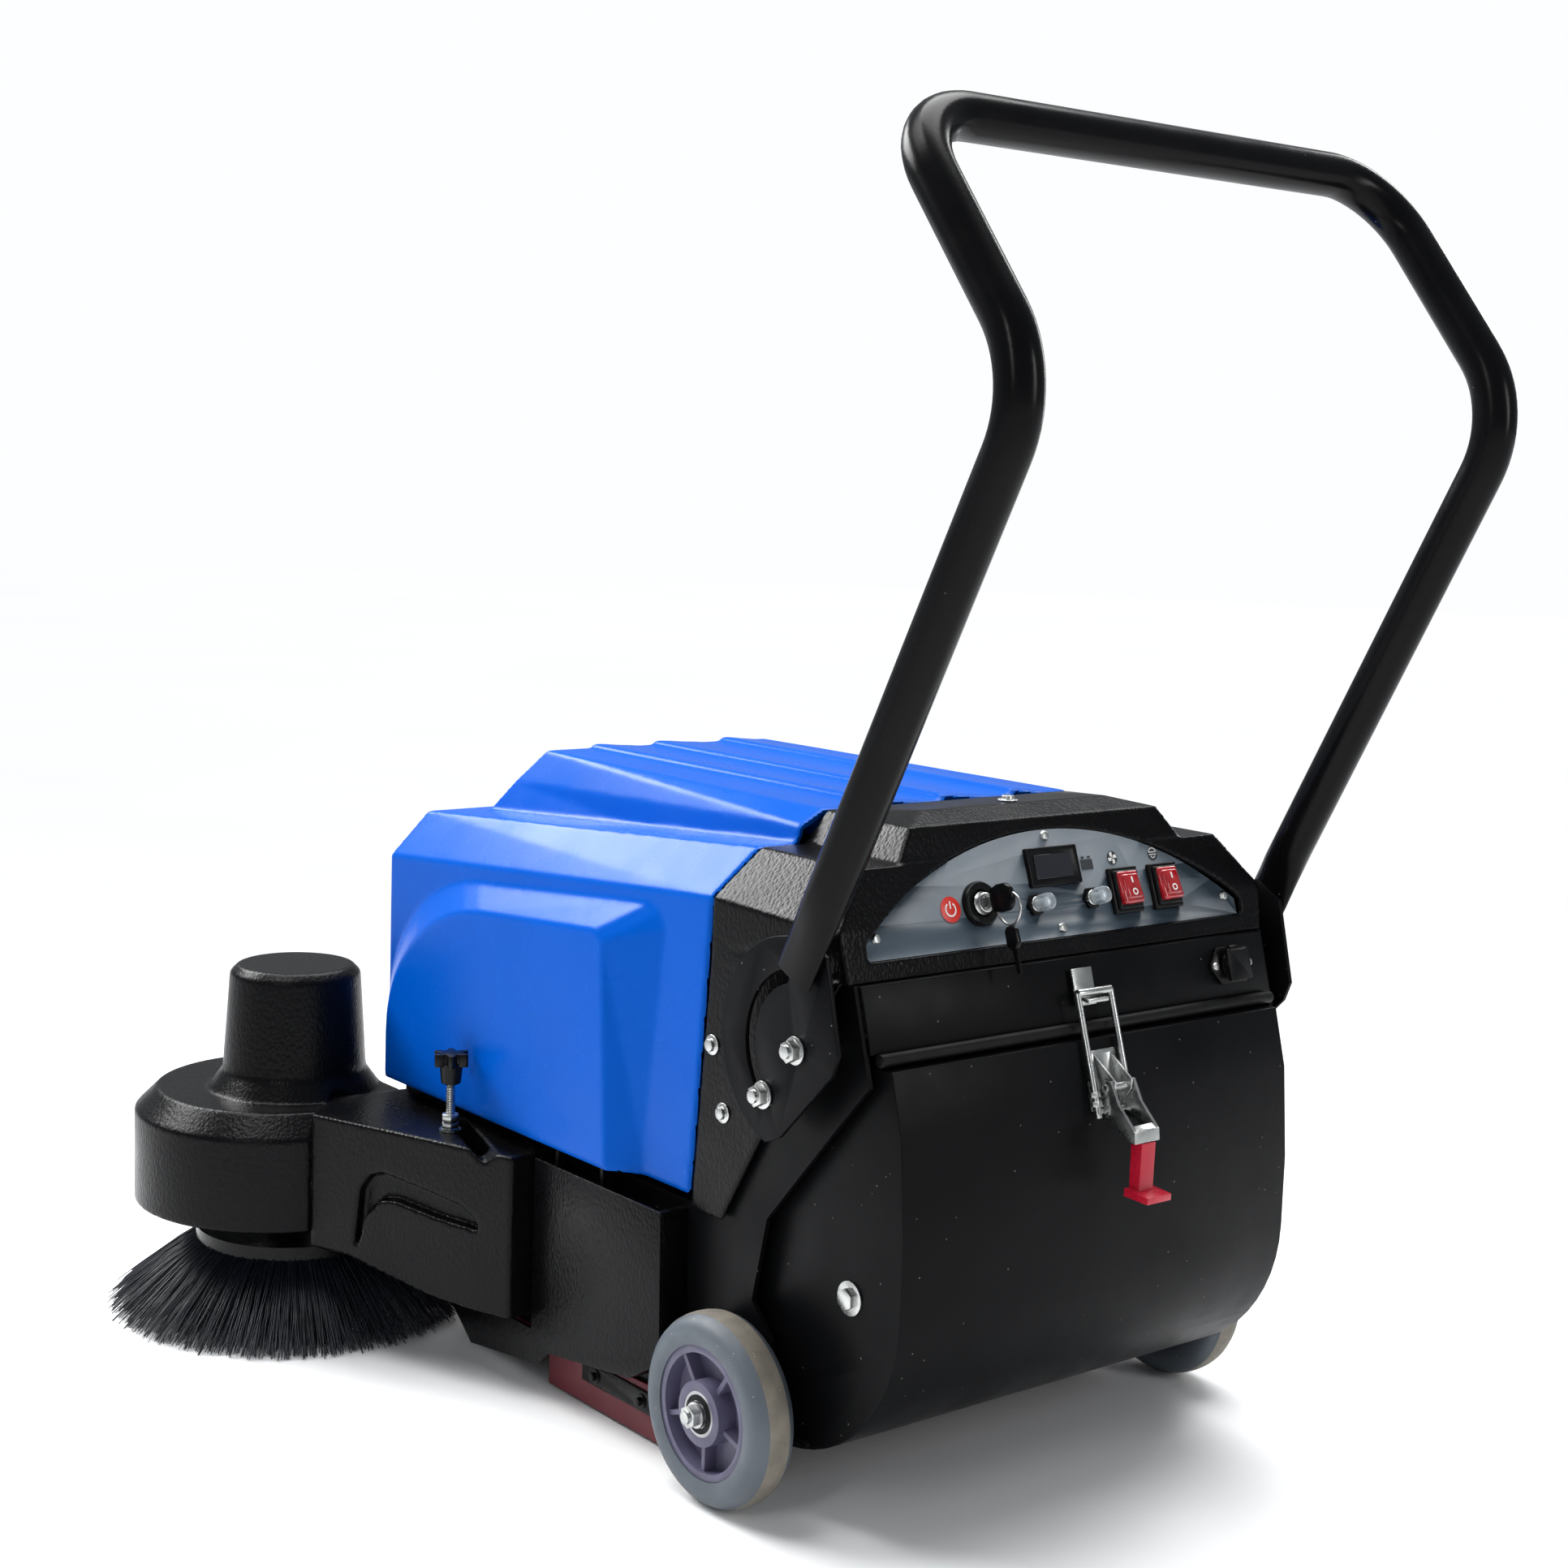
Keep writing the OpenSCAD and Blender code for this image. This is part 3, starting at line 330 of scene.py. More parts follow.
def soften(piece, voxel, rounds, keep):
    """Turns a solid into one skin with soft edges: rebuilt in fine cells, smoothed and thinned out."""
    work(piece, "REMESH", mode="VOXEL", voxel_size=voxel, adaptivity=0)
    work(piece, "SMOOTH", factor=0.5, iterations=rounds)
    work(piece, "DECIMATE", ratio=keep)
    bpy.ops.object.shade_smooth()
    return piece


sweep = [(math.cos(math.radians(7.5 * i)), math.sin(math.radians(7.5 * i))) for i in range(13)]
low_z, hood_side, pad_edge, pad_face = 220, 230, 228, 250
forms = [
    wrapped([
        (hood_side, 75, low_z), (hood_side, 57, 459), (194, 45, 497),
        (hood_side, 542, low_z), (hood_side, 542, 420), (200, 527, 461),
    ]),
    wrapped([(167, 44, 470), (133, 42, 523), (156, 42, 511), (159, 500, 455), (142, 472, 492), (126, 444, 523)]),
    wrapped(
        [(pad_face, 162, low_z), (pad_face, 512, low_z), (pad_face, 174, 406), (pad_face, 186, 413)]
        + [(pad_face, 335 + 177 * c, 262 + 138 * u) for c, u in sweep]
        + [(pad_edge, 134, low_z), (pad_edge, 541.5, low_z)]
        + [(pad_edge, 110, 425), (pad_edge, 118, 438), (pad_edge, 133, 444)]
        + [(pad_edge, 372 + 169.5 * c, 285 + 136 * u) for c, u in sweep]
    ),
]
forms += [
    cut_sheet([(x, 516), (x + 1, 526.2), (x + 4, 527), (x + reach, 522.2), (x + reach, 516)], 46, 443, "y", 0)
    for x, reach in ((-78, 62), (-8, 70), (71, 50))
]
pick(forms[0])
for form in forms:
    form.select_set(True)
bpy.ops.object.join()
shell = soften(bpy.context.object, voxel=2.2, rounds=7, keep=0.2)
for face in shell.data.polygons:
    below = face.center.z < low_z + 3 and face.normal.z < -0.6
    face.select = below or (face.center.y < 78 and face.normal.y < -0.75 and abs(face.center.x) < pad_edge)
pick(shell)
bpy.ops.object.mode_set(mode="EDIT")
bpy.ops.mesh.select_mode(type="FACE")
bpy.ops.mesh.delete(type="FACE")
bpy.ops.object.mode_set(mode="OBJECT")
work(shell, "SOLIDIFY", thickness=5, offset=-1)
bpy.ops.object.shade_smooth_by_angle(angle=math.radians(60))
settle(shell, "hood_shell", blue_skin, "hood", "blue_pe", "hood")

# Rear housing: rotomoulded black polyethylene with a leather grain, glossy on its rounded edges,
# with a sunk face for the control panel. Four washered screws hold it to the side plates.


def mould(node, voxel, rounds, keep):
    """A frame solid given the soft edges of a moulding."""
    return soften(copy_solid(node, node + "_skin"), voxel, rounds, keep)


grained_skin = finish(
    "black_grained_polyethylene", (0.003, 0.003, 0.0035), (0.22, 0.32), 0.7, 7,
    [("cells", 330, 0.26, (1, 1, 0.7)), ("noise", 520, 0.14, (1.4, 1.4, 0.8))], Specular_IOR_Level=0.1,
)
housing = mould("rear_housing", voxel=1.8, rounds=5, keep=0.35)
settle(housing, "housing_shell", grained_skin, "chassis", "black_pe", "rear_housing")

# Side covers: black polyethylene mouldings with rounded edges, fixed to the side plates below the
# hood. The left one covers the belt and its pulleys, and the right one is plain.
refine("side_covers", "lower_side_covers", 3, grained_skin, "chassis", "black_pe", 3)

# Side brush arm and cover: two glossy mouldings with a coarse leather grain, screwed together at an
# upright seam. The arm has a sunk finger grip in its side, and the cover a dome over the motor.
for node, name in (("brush_arm", "arm_shell"), ("brush_cover", "brush_cover_shell")):
    settle(mould(node, voxel=1.8, rounds=8, keep=0.35), name, grained_skin, "side_arm", "black_pe", node)

# Handle: one length of 33.7 mm steel pipe bent to a hoop and powder coated gloss black. Its feet are
# pressed flat, thinner across and a little wider along, and welded to the side plates.


def rod(points, radius, fineness=6, closed=False):
    """A round bar that follows the points."""
    bpy.ops.object.select_all(action="DESELECT")
    bpy.ops.curve.primitive_nurbs_path_add()
    piece = bpy.context.object
    piece.data.splines.clear()
    route = piece.data.splines.new("POLY")
    route.points.add(len(points) - 1)
    for point, place in zip(route.points, points):
        point.co = (*place, 1)
    route.use_cyclic_u = closed
    piece.data.dimensions = "3D"
    piece.data.bevel_depth = radius
    piece.data.bevel_resolution = fineness
    piece.data.use_fill_caps = not closed
    pick(piece)
    bpy.ops.object.convert(target="MESH")
    bpy.ops.object.shade_smooth_by_angle(angle=math.radians(50))
    return bpy.context.object


def bent(corners, radii, steps=10):
    """The corners of a route, each rounded to its radius."""
    route = [Vector(corners[0])]
    for before, corner, after, radius in zip(corners, corners[1:], corners[2:], radii):
        corner = Vector(corner)
        back, on = (Vector(before) - corner).normalized(), (Vector(after) - corner).normalized()
        half = back.angle(on) / 2
        centre = corner + (back + on).normalized() * (radius / math.sin(half))
        start = corner + back * (radius / math.tan(half)) - centre
        end = corner + on * (radius / math.tan(half)) - centre
        turn = start.angle(end)
        for i in range(steps + 1):
            a = turn * i / steps
            route.append(centre + (start * math.sin(turn - a) + end * math.sin(a)) / math.sin(turn))
    route.append(Vector(corners[-1]))
    return route


leg_x, pipe_r = 253, 16.85
left_leg = [(-leg_x, -75, 425), (-leg_x, -289.6, 847.6), (-leg_x, -148, 1026)]
right_leg = [(-x, y, z) for x, y, z in reversed(left_leg)]
hoop = bent(left_leg + right_leg, [85, 62, 62, 85], 14)
lower = [
    [start.lerp(end, i / 24) for i in range(1, 24)]
    for start, end in ((hoop[0], hoop[1]), (hoop[-2], hoop[-1]))
]
handle_pipe = rod([hoop[0], *lower[0], *hoop[1:-1], *lower[1], hoop[-1]], pipe_r, 9)
press_top, press_run, foot_x, thinned, widened = 478, 48, 255.5, 0.28, 0.18
for vertex in handle_pipe.data.vertices:
    press = min(max((press_top - vertex.co.z) / press_run, 0), 1) ** 0.7
    side = math.copysign(1, vertex.co.x)
    flat_x = foot_x + (abs(vertex.co.x) - leg_x) * thinned
    vertex.co.x = side * (abs(vertex.co.x) * (1 - press) + flat_x * press)
    middle_y = -88 - (vertex.co.z - 450) * 0.507
    vertex.co.y += (vertex.co.y - middle_y) * widened * press
hammered_coat = finish(
    "gloss_black_powder_coat", (0.003, 0.003, 0.0035), (0.18, 0.28), 0.75, 8,
    [("noise", 420, 0.05, even)], ((0.1, 0.1, 0.1), 45, 0.02), Specular_IOR_Level=0.1,
)
settle(handle_pipe, "handle_hoop", hammered_coat, "handle", "black_steel", "handle_tube", "handle_crossbar")
refine("handle_plates", "handle_side_plates", 0.9, powder_coat, "handle", "black_steel")

# Control panel: a 3 mm plate painted slate grey, its edges rounded. Four screws near its edges hold
# it in the sunk face of the housing.
slate = finish("slate_panel_paint", (0.048, 0.07, 0.092), (0.4, 0.5), 0.93, 12, [("noise", 700, 0.03, even)])
refine("control_panel", "control_plate", 0.7, slate, "chassis", "slate")

# Signs: printed on the panel in thin ink, and all generic: a red disc with a power mark, a fan, a
# brush and a battery. What sits on the panel is made lying flat and then laid on its face.
panel_foot, panel_tilt, panel_thick = (0, -88.3, 438.3), math.radians(70), 3
panel_face = (
    Matrix.Translation(panel_foot) @ Matrix.Rotation(panel_tilt, 4, "X") @ Matrix.Translation((0, 0, panel_thick))
)
origin, up = (0, 0, 0), (0, 0, 1)


def block(low, high, ease=0.8, steps=2):
    """A box between two corners, its edges eased."""
    low, high = Vector(low), Vector(high)
    bpy.ops.object.select_all(action="DESELECT")
    bpy.ops.mesh.primitive_cube_add(size=1, location=(low + high) / 2, scale=high - low)
    piece = bpy.context.object
    bpy.ops.object.transform_apply(location=True, rotation=False, scale=True)
    return ease_edges(piece, ease, steps)


def ring_points(radius, first=0.0, last=360.0, steps=24, centre=(0, 0)):
    """Points round a circle, or along an arc of it with both ends."""
    return [
        (centre[0] + radius * math.cos(math.radians(first + (last - first) * i / steps)),
         centre[1] + radius * math.sin(math.radians(first + (last - first) * i / steps)))
        for i in range(steps + (abs(last - first) < 360))
    ]


def joined(*pieces):
    pick(pieces[0])
    for piece in pieces:
        piece.select_set(True)
    bpy.ops.object.join()
    return bpy.context.object


def moved(piece, *places):
    for place in places:
        piece.data.transform(place)
    return piece


def at(x, y, z=0.0):
    return Matrix.Translation((x, y, z))


def on_panel(piece, place, *labels):
    """Lays a piece on the panel at a place, with the name and the rest that settle takes."""
    return settle(moved(piece, place, panel_face), *labels)


def tile(corner, opposite, low, high):
    """A flat rectangle between two corners, from one height to another."""
    (a, b), (c, d) = corner, opposite
    return cut_sheet([(a, b), (c, b), (c, d), (a, d)], low, high, "z", 0)


def band(radius, width, first, last, centre, low, high, steps=20):
    """A flat arc of even width."""
    outer = ring_points(radius + width / 2, first, last, steps, centre)
    inner = ring_points(radius - width / 2, last, first, steps, centre)
    return cut_sheet(outer + inner, low, high, "z", 0)


def turned(profile, centre, axis=(1, 0, 0), steps=96):
    """A shape turned about an axis from its section: (distance along the axis, radius)."""
    bpy.ops.object.select_all(action="DESELECT")
    bpy.ops.mesh.primitive_circle_add(vertices=len(profile), fill_type="NOTHING")
    piece = bpy.context.object
    axis, centre = Vector(axis), Vector(centre)
    arm = axis.orthogonal().normalized()
    for vertex, (along, radius) in zip(piece.data.vertices, profile):
        vertex.co = centre + axis * along + arm * radius
    bpy.ops.object.mode_set(mode="EDIT")
    bpy.ops.mesh.select_all(action="SELECT")
    bpy.ops.mesh.spin(steps=steps, angle=math.tau, center=centre, axis=axis)
    bpy.ops.mesh.select_all(action="SELECT")
    bpy.ops.mesh.remove_doubles(threshold=weld)
    bpy.ops.mesh.normals_make_consistent(inside=False)
    bpy.ops.object.mode_set(mode="OBJECT")
    bpy.ops.object.shade_smooth_by_angle(angle=math.radians(35))
    return piece


red_print = finish("red_print", (0.62, 0.02, 0.012), (0.35, 0.45), 0.9, 80)
pale_print = finish("pale_print", (0.8, 0.8, 0.78), (0.4, 0.5), 0.93, 80)
dark_print = finish("dark_print", (0.022, 0.026, 0.032), (0.4, 0.5), 0.85, 80)
red_sign = cut_sheet(ring_points(10, steps=48), 0, 0.25, "z", 0.08)
on_panel(red_sign, at(-112, 24), "power_sign_disc", red_print, "chassis", "slate")
power_mark = joined(band(5, 1.2, 122, 418, (0, 0), 0.2, 0.45), tile((-0.6, 0.6), (0.6, 6.4), 0.2, 0.45))
on_panel(power_mark, at(-112, 24), "power_sign_mark", pale_print, "chassis", "slate")
dark_marks = [cut_sheet(ring_points(5.6, steps=36, centre=(x, 50)), 0, 0.2, "z", 0) for x in (70, 117)]
dark_marks += [
    tile((34, 43), (47, 51), 0, 0.2), tile((35.5, 52), (38.5, 53.6), 0, 0.2), tile((42.5, 52), (45.5, 53.6), 0, 0.2),
]
settle(moved(joined(*dark_marks), panel_face), "sign_grounds", dark_print, "chassis", "slate")
fan_blade, ink = [(0.4, -0.4), (4.6, -1.9), (4.9, 1.0), (2.2, 1.6)], (0.18, 0.36)
pale_marks = [
    moved(cut_sheet(fan_blade, *ink, "z", 0), Matrix.Rotation(math.radians(a), 4, "Z"), at(70, 50))
    for a in (20, 110, 200, 290)
]
pale_marks += [band(4.6, 0.7, 20, 160, (117, 50), *ink), band(2.4, 0.7, 200, 340, (117, 49), *ink)]
pale_marks += [tile((112.8, 50 + b), (121.2, 50.7 + b), *ink) for b in (-1, 1)]
settle(moved(joined(*pale_marks), panel_face), "sign_marks", pale_print, "chassis", "slate")

# Battery meter: a moulded black bezel, snapped into a slot in the panel, with a sunk face and a dark
# glass window in it.
black_plastic = finish(
    "black_moulded_plastic", (0.004, 0.004, 0.0045), (0.22, 0.34), 0.75, 20, [("noise", 600, 0.04, even)],
    Specular_IOR_Level=0.14,
)
bezel = block((-28, -15.5, -12), (28, 15.5, 3.6), 1.4, 3)
bpy.ops.object.mode_set(mode="EDIT")
bpy.ops.mesh.select_all(action="DESELECT")
bpy.ops.object.mode_set(mode="OBJECT")
for face in bezel.data.polygons:
    face.select = face.normal.z > 0.99 and face.area > 500
bpy.ops.object.mode_set(mode="EDIT")
bpy.ops.mesh.inset(thickness=2.6)
bpy.ops.transform.translate(value=(0, 0, -1.3))
bpy.ops.object.mode_set(mode="OBJECT")
on_panel(bezel, at(1.5, 48.5), "meter_bezel", black_plastic, "chassis", "black_plastic", "battery_meter")
dark_glass = finish("dark_meter_glass", (0.006, 0.007, 0.013), (0.05, 0.1), 0.6, 40, Coat_Weight=0.6)
window = block((-20, -9.5, 2.2), (20, 9.5, 2.9), 0.2, 1)
on_panel(window, at(1.5, 48.5), "meter_window", dark_glass, "chassis", "black_plastic")

# Key switch: a black ring with a bright barrel, its key turned in it. A split ring through the bow of
# the key carries a spare one.
zinc = finish(
    "bright_zinc", (0.5, 0.51, 0.5), (0.22, 0.34), 0.86, 30, [("noise", 260, 0.02, even)], Metallic=1.0,
)
key_centre = at(-82, 25.6)
switch_ring = turned(
    [(0, 17.4), (2.4, 17.4), (4.6, 16), (5.2, 14), (5.0, 11), (3.2, 9.6), (-10, 9.4)], origin, up
)
on_panel(switch_ring, key_centre, "key_switch_ring", black_plastic, "chassis", "black_plastic", "key_switch")
barrel = turned([(-8, 5.2), (-8, 9), (4.6, 9), (5.6, 8.2), (8, 7.6), (8.6, 6.8), (8.6, 5.2)], origin, up)
on_panel(barrel, key_centre, "key_switch_barrel", zinc, "chassis", "zinc")
bow_outline = [
    (-9, 17), (-7.5, 14.5), (7.5, 14.5), (9, 17), (11, 24), (10.5, 32), (7, 37), (0, 38.5),
    (-7, 37), (-10.5, 32), (-11, 24),
]
bow = cut_sheet(bow_outline, -2.6, 2.6, "x", 1.4)
shank = joined(
    block((-1.1, -3.6, 4), (1.1, 3.6, 16), 0.3, 1),
    turned([(-5, 0), (-5, 4.9), (6, 4.9), (6, 0)], origin, up),
)
split_r = 12.5
turns = [math.radians(a) for a in range(0, 360, 10)]
split_route = [(0.66 * math.sin(2 * a), split_r * math.sin(a) - 9, 31 + split_r * math.cos(a)) for a in turns]
key_ring = rod(split_route, 0.95, 2, True)
spare_outline = [(-30, 28), (-33, 25), (-44, 24.5), (-48, 28), (-48, 34), (-44, 37.5), (-33, 37), (-30, 34)]
spare = joined(
    cut_sheet(spare_outline, -2.2, 2.2, "x", 1.2),
    block((-0.9, -66, 28.6), (0.9, -47, 33.4), 0.3, 1),
)
on_panel(bow, key_centre, "key_bow", black_plastic, "key", "black_plastic", "key")
on_panel(shank, key_centre, "key_shank", zinc, "key", "zinc")
on_panel(key_ring, key_centre, "key_split_ring", zinc, "key", "zinc")
on_panel(moved(spare, at(0, 8, -2)), key_centre, "spare_key", black_plastic, "key", "black_plastic")

# Rocker switches: black frames clipped into the panel, with glossy red rubber boots over the rockers.
# The boots tilt a little with their rockers and carry a pale bar and ring for on and off.
rocker_boot = finish("red_boot", (0.42, 0.006, 0.012), (0.07, 0.14), 0.7, 90, Coat_Weight=0.8)
for x, word in ((74.8, "fan"), (121, "brush")):
    surround = joined(
        block((-16.5, -18.5, 0), (16.5, 18.5, 4.5), 1.6, 3),
        block((-13.8, -15.8, 3), (13.8, 15.8, 7.5), 2, 3),
    )
    on_panel(surround, at(x, 23), word + "_rocker_frame", black_plastic, "chassis", "black_plastic")
    lean_back = at(x, 23, -2) @ Matrix.Rotation(math.radians(-7), 4, "X")
    boot = joined(
        block((-11.5, -13.5, 6), (11.5, 13.5, 13), 2.6, 4),
        block((-8.6, -10.4, 9), (8.6, 10.4, 15), 2.4, 4),
    )
    on_panel(boot, lean_back, word + "_rocker_boot", rocker_boot, word + "_switch", "red_rocker", word + "_rocker")
    marks = joined(tile((-0.7, 2.5), (0.7, 7.5), 14.9, 15.2), band(2.3, 1.0, 0, 359, (0, -5), 14.9, 15.2, 28))
    on_panel(marks, lean_back, word + "_rocker_marks", pale_print, word + "_switch", "red_rocker")
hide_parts("switch_frames")

# Breakers: a black hexagon nut on a bright threaded neck, with a pale reset button in it. A clear boot
# on the neck covers the button.
clear_cap = finish("clear_cap", (0.8, 0.86, 0.9), (0.04, 0.1), 0.95, 60, Transmission_Weight=0.85, IOR=1.42)
for x, word in ((-25, "fan"), (36.5, "brush")):
    nut = ease_edges(cut_sheet(ring_points(9.2, steps=6), 0, 3.8, "z", 0.6), 0.2)
    screw_thread = [(a / 2, 6.1 if a % 2 else 5.7) for a in range(0, 11)]
    neck = turned([(-6, 3.6), (-6, 6), *screw_thread, (5.2, 3.6)], origin, up, 48)
    button = turned([(-6, 0), (-6, 3.5), (15, 3.5), (15.8, 2.9), (16, 0)], origin, up, 40)
    outside = [(8.6, 6.9), (16, 6.9), (18, 6.4), (19, 5), (19.4, 0)]
    inside = [(18.6, 0), (18.2, 4.6), (17.4, 5.8), (16, 6.1), (9.2, 6.1), (9.2, 5.9)]
    boot = turned(outside + inside, origin, up, 56)
    on_panel(nut, at(x, 20), word + "_breaker_nut", black_plastic, "chassis", "black_plastic")
    on_panel(neck, at(x, 20), word + "_breaker_neck", zinc, "chassis", "zinc")
    on_panel(button, at(x, 20), word + "_breaker_button", pale_print, word + "_reset", "clear")
    on_panel(boot, at(x, 20), word + "_breaker_boot", clear_cap, word + "_reset", "clear", word + "_breaker")

# Dust bin: 2 mm steel sheet, folded, welded and powder coated satin black, with a little dust on it.
# A black rubber bulb pressed on the chassis seals its mouth.
refine("bin_shell", "bin_sheet_shell", 1.2, powder_coat, "bin", "black_steel", 3)
black_rubber = finish(
    "black_rubber", (0.004, 0.004, 0.0045), (0.45, 0.6), 0.8, 14, [("noise", 300, 0.08, even)],
    Specular_IOR_Level=0.15,
)
refine("bin_seal", "seal_bulb", 1, black_rubber, "chassis", "black_rubber")

# Main wheels: blue-grey thermoplastic rubber moulded on a purple-grey nylon rim with five ribs. The
# tread is worn paler and dusty where it runs on the floor.
tyre_rubber = finish(
    "blue_grey_tyre", (0.085, 0.102, 0.122), (0.45, 0.6), 0.85, 22, [("noise", 240, 0.1, even)],
    ((0.3, 0.27, 0.22), 120, 0.05),
)
rim_nylon = finish("purple_grey_nylon", (0.085, 0.078, 0.135), (0.35, 0.5), 0.85, 20, [("noise", 500, 0.04, even)])
wall = [(-18, 52), (-19.5, 56), (-19.8, 60), (-19.3, 64), (-17.6, 68), (-14.5, 71.2), (-9.4, 73.7), (-9.4, 73.2)]
section = wall + [(-a, r) for a, r in reversed(wall)]
tread = [(-9.4, 73.0), (-9.4, 73.8), (-5, 74.7), (0, 75), (5, 74.7), (9.4, 73.8), (9.4, 73.0)]
worn_rubber = finish(
    "worn_tread", (0.2, 0.18, 0.145), (0.55, 0.7), 0.75, 60, [("noise", 420, 0.15, even)],
    ((0.35, 0.3, 0.24), 150, 0.06),
)
wheel_x, wheel_r = 251, 75
for side, word in ((-1, "left"), (1, "right")):
    tyre = turned(section, (side * wheel_x, 0, wheel_r))
    settle(tyre, word + "_wheel_tyre", tyre_rubber, word + "_wheel", "tyre", word + "_tyre")
    band_of_wear = turned(tread, (side * wheel_x, 0, wheel_r))
    settle(band_of_wear, word + "_wheel_tread", worn_rubber, word + "_wheel", "tyre")
    rim = ease_edges(copy_solid(word + "_rim", "rim"), 1.0)
    settle(rim, word + "_wheel_rim", rim_nylon, word + "_wheel", "rim", word + "_rim")

# Side brush: black nylon filaments stapled in four rings in a plastic disc, splaying to the floor.
# Each has its own lean, reach and length.
draw = random.Random(11)
disc_x, disc_y, root_z = -302, 586, 68
bpy.ops.object.select_all(action="DESELECT")
bpy.ops.curve.primitive_nurbs_path_add()
brush = bpy.context.object
brush.data.splines.clear()
brush.data.dimensions = "3D"
for root_r, tip_r, count in ((58, 118, 420), (68, 140, 620), (78, 160, 980), (82, 165, 620)):
    for i in range(count):
        a = math.tau * (i + draw.uniform(-0.5, 0.5)) / count
        b = a + draw.uniform(-0.05, 0.05)
        r0, r1 = root_r + draw.uniform(-4, 2), tip_r + draw.uniform(-12, 3)
        z1 = max(0.6, draw.uniform(-3, 7))
        strand = brush.data.splines.new("POLY")
        strand.points.add(3)
        for point, t in zip(strand.points, (0, 0.35, 0.7, 1)):
            r, turn = r0 + (r1 - r0) * t ** 0.92, a + (b - a) * t
            height = root_z + (z1 - root_z) * t ** 1.06
            point.co = (disc_x + r * math.cos(turn), disc_y + r * math.sin(turn), height, 1)
            point.radius = 1 - 0.35 * t
brush.data.bevel_depth = 0.62
brush.data.bevel_resolution = 0
pick(brush)
bpy.ops.object.convert(target="MESH")
brush = bpy.context.object
bristle = finish("black_nylon_bristle", (0.010, 0.013, 0.022), (0.3, 0.45), 0.6, 30, Specular_IOR_Level=0.6)
settle(brush, "side_brush_filaments", bristle, "side_brush", "bristle", "side_bristles")

# Fastenings and latch: zinc-plated steel bolts, nuts, washers and screws, and the bin's pressed latch
# and catch, their corners rounded by forming. Two small screws close the seam of the brush arm.
for node, body, slot in (
    ("handle_bolts", "chassis", "zinc"), ("axle_bolts", "chassis", "zinc"), ("bin_bolts", "bin", "zinc"),
    ("housing_screws", "chassis", "zinc"), ("panel_screws", "chassis", "zinc"), ("latch_catch", "chassis", "zinc"),
    ("latch_base", "bin", "zinc"), ("latch_lever", "lever", "zinc"), ("latch_bail", "bail", "zinc"),
):
    refine(node, node + "_fine", 0.5, zinc, body, slot)
lying, facing = Matrix.Rotation(math.radians(90), 4, "Y"), Matrix.Rotation(math.radians(199.4), 4, "Z")
for height in (137.4, 106):
    head = turned([(-1, 0), (-1, 3.6), (0.6, 3.6), (1.6, 2.9), (2.1, 1.6), (2.2, 0)], origin, up, 32)
    head = moved(head, lying, facing, at(-353.2, 497.2, height))
    settle(head, "arm_screw_" + str(round(height)), zinc, "side_arm", "zinc")

# Charging inlet: moulded black nylon with a sprung flap over it, held on the sloping rear plate by two
# screws. The clamp strips that hold the side skirts are moulded in the same nylon.
for node, body in (("charge_socket", "chassis"), ("socket_flap", "flap"), ("skirt_strips", "chassis")):
    refine(node, node + "_fine", 0.6, black_plastic, body, "black_plastic")

# Height knob: a six-lobed black star moulded on a zinc-plated stud. The stud has a rolled thread, two
# nuts and a washer below.
knob_at = at(-270, 364)
star = [
    ((12.6 + 3.6 * math.cos(math.radians(6 * a))) * math.cos(math.radians(a)),
     (12.6 + 3.6 * math.cos(math.radians(6 * a))) * math.sin(math.radians(a)))
    for a in range(0, 360, 4)
]
knob_top = cut_sheet(star, 266, 277, "z", 2.2)
collar = turned([(250, 4), (250, 7.6), (251, 8.6), (262, 9.6), (268, 10.5), (268, 4)], origin, up, 48)
knob = moved(joined(knob_top, collar), knob_at)
settle(knob, "knob_star", black_plastic, "knob", "black_plastic", "height_knob")
thread = [(z, 4.0 if step % 2 else 3.5) for step, z in enumerate(range(186, 251))]
stud = turned([(184, 0), (184, 3.4), *thread, (252, 3.5), (252, 0)], origin, up, 28)
parts = [stud, turned([(208.4, 4), (208.4, 9.5), (209.9, 9.5), (209.9, 4)], origin, up, 40)]
for z in (210, 217):
    parts.append(cut_sheet(ring_points(8, steps=6), z, z + 6, "z", 0.7))
settle(moved(joined(*parts), knob_at), "knob_stud", zinc, "knob", "zinc")

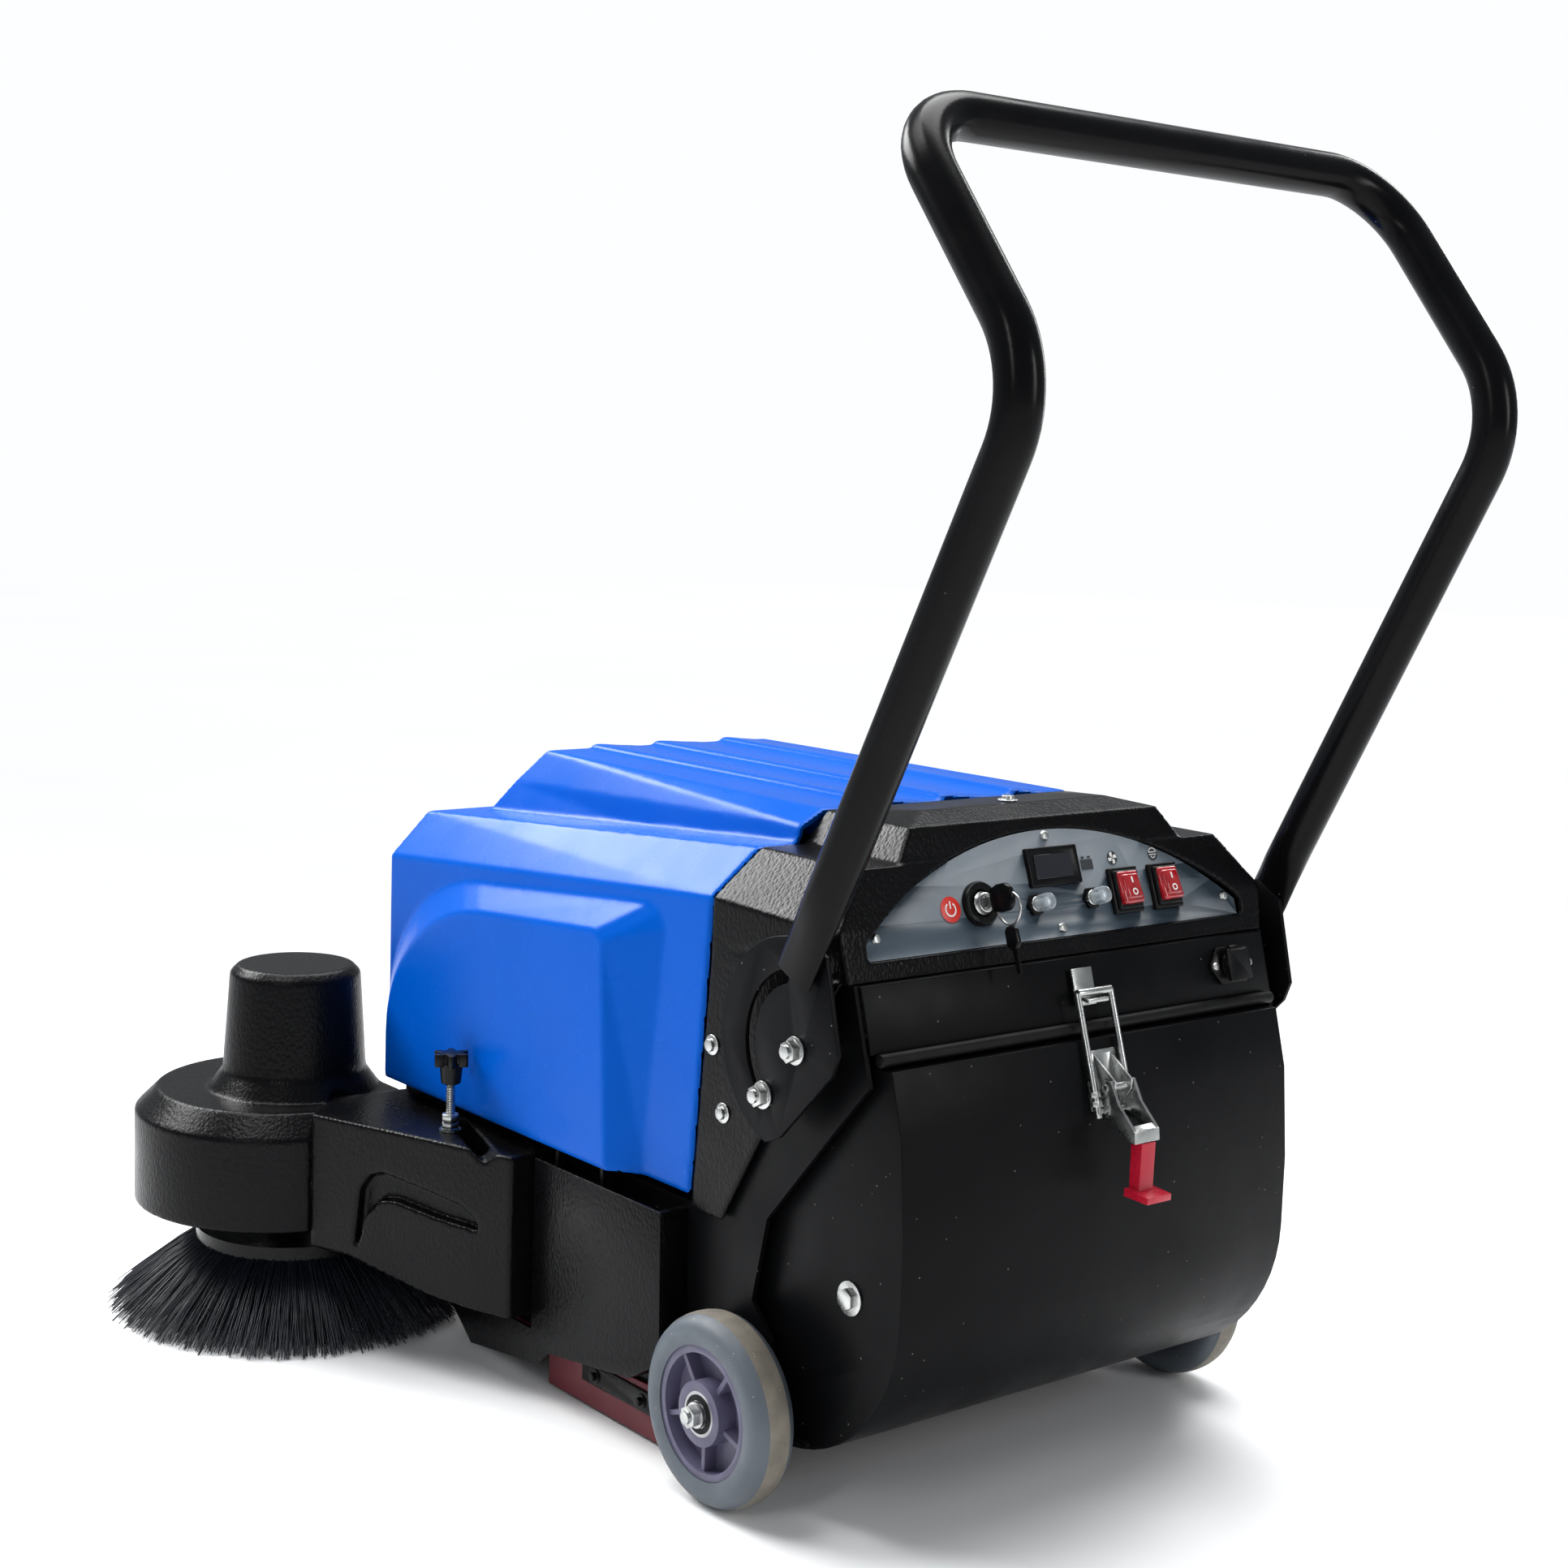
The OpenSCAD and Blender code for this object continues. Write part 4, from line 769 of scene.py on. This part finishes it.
# Wheel bearings: sealed ball bearings pressed into the rims, each with a black rubber seal ring sunk
# between its bright rings.
for side, word in ((-1, "left"), (1, "right")):
    seal_ring = turned([(0, 10.6), (0, 15), (0.5, 15), (0.5, 10.6)], (side * 270.9, 0, wheel_r), (side, 0, 0), 64)
    settle(seal_ring, word + "_bearing_seal", black_rubber, word + "_wheel", "black_rubber")

# Skirts: sheets of dark red rubber along both sides, ahead of the brush roller and behind it. They
# hang 3 mm clear of the floor.
red_skirt = finish("dark_red_rubber", (0.14, 0.006, 0.016), (0.45, 0.6), 0.75, 10, [("noise", 200, 0.1, even)])
refine("rubber_skirts", "skirt_sheets", 0.8, red_skirt, "chassis", "red_rubber")

# Latch grip: a soft red vinyl sleeve dipped and pulled over the lever of the bin's latch. Its edges
# are all rounded.
red_vinyl = finish("red_vinyl", (0.5, 0.008, 0.03), (0.22, 0.35), 0.85, 25, [("noise", 300, 0.1, even)])
refine("latch_grip", "grip_sleeve", 1.2, red_vinyl, "lever", "red_grip", 3)

# Inside and below: pieces hardly seen keep their frame shapes and get their finish only. They are
# black nylon, plain steel, zinc, rubber, bristle, a battery case, filter paper and cast alloy.
carry(black_plastic, "fan_housing", "side_disc", "caster_wheel")
steel = finish(
    "plain_steel", (0.45, 0.45, 0.46), (0.25, 0.45), 0.75, 40, [("noise", 500, 0.04, (1, 4, 4))], Metallic=1.0,
)
carry(steel, "left_bearings", "right_bearings", "brush_bearings", "drive_motor", "side_motor")
carry(zinc, "caster_fork")
carry(black_rubber, "drive_belt")
carry(bristle, "roller_bristles")
case = finish("dark_battery_case", (0.03, 0.03, 0.035), (0.4, 0.55), 0.8, 12, [("noise", 300, 0.08, even)])
carry(case, "battery")
paper = finish("pleated_filter_paper", (0.55, 0.5, 0.38), (0.8, 0.95), 0.85, 30, [("noise", 400, 0.1, even)])
carry(paper, "dust_filter")
alloy = finish("cast_alloy", (0.5, 0.5, 0.52), (0.3, 0.45), 0.8, 40, [("noise", 500, 0.05, even)], Metallic=1.0)
carry(alloy, "roller_pulley", "motor_pulley", "fan_impeller")
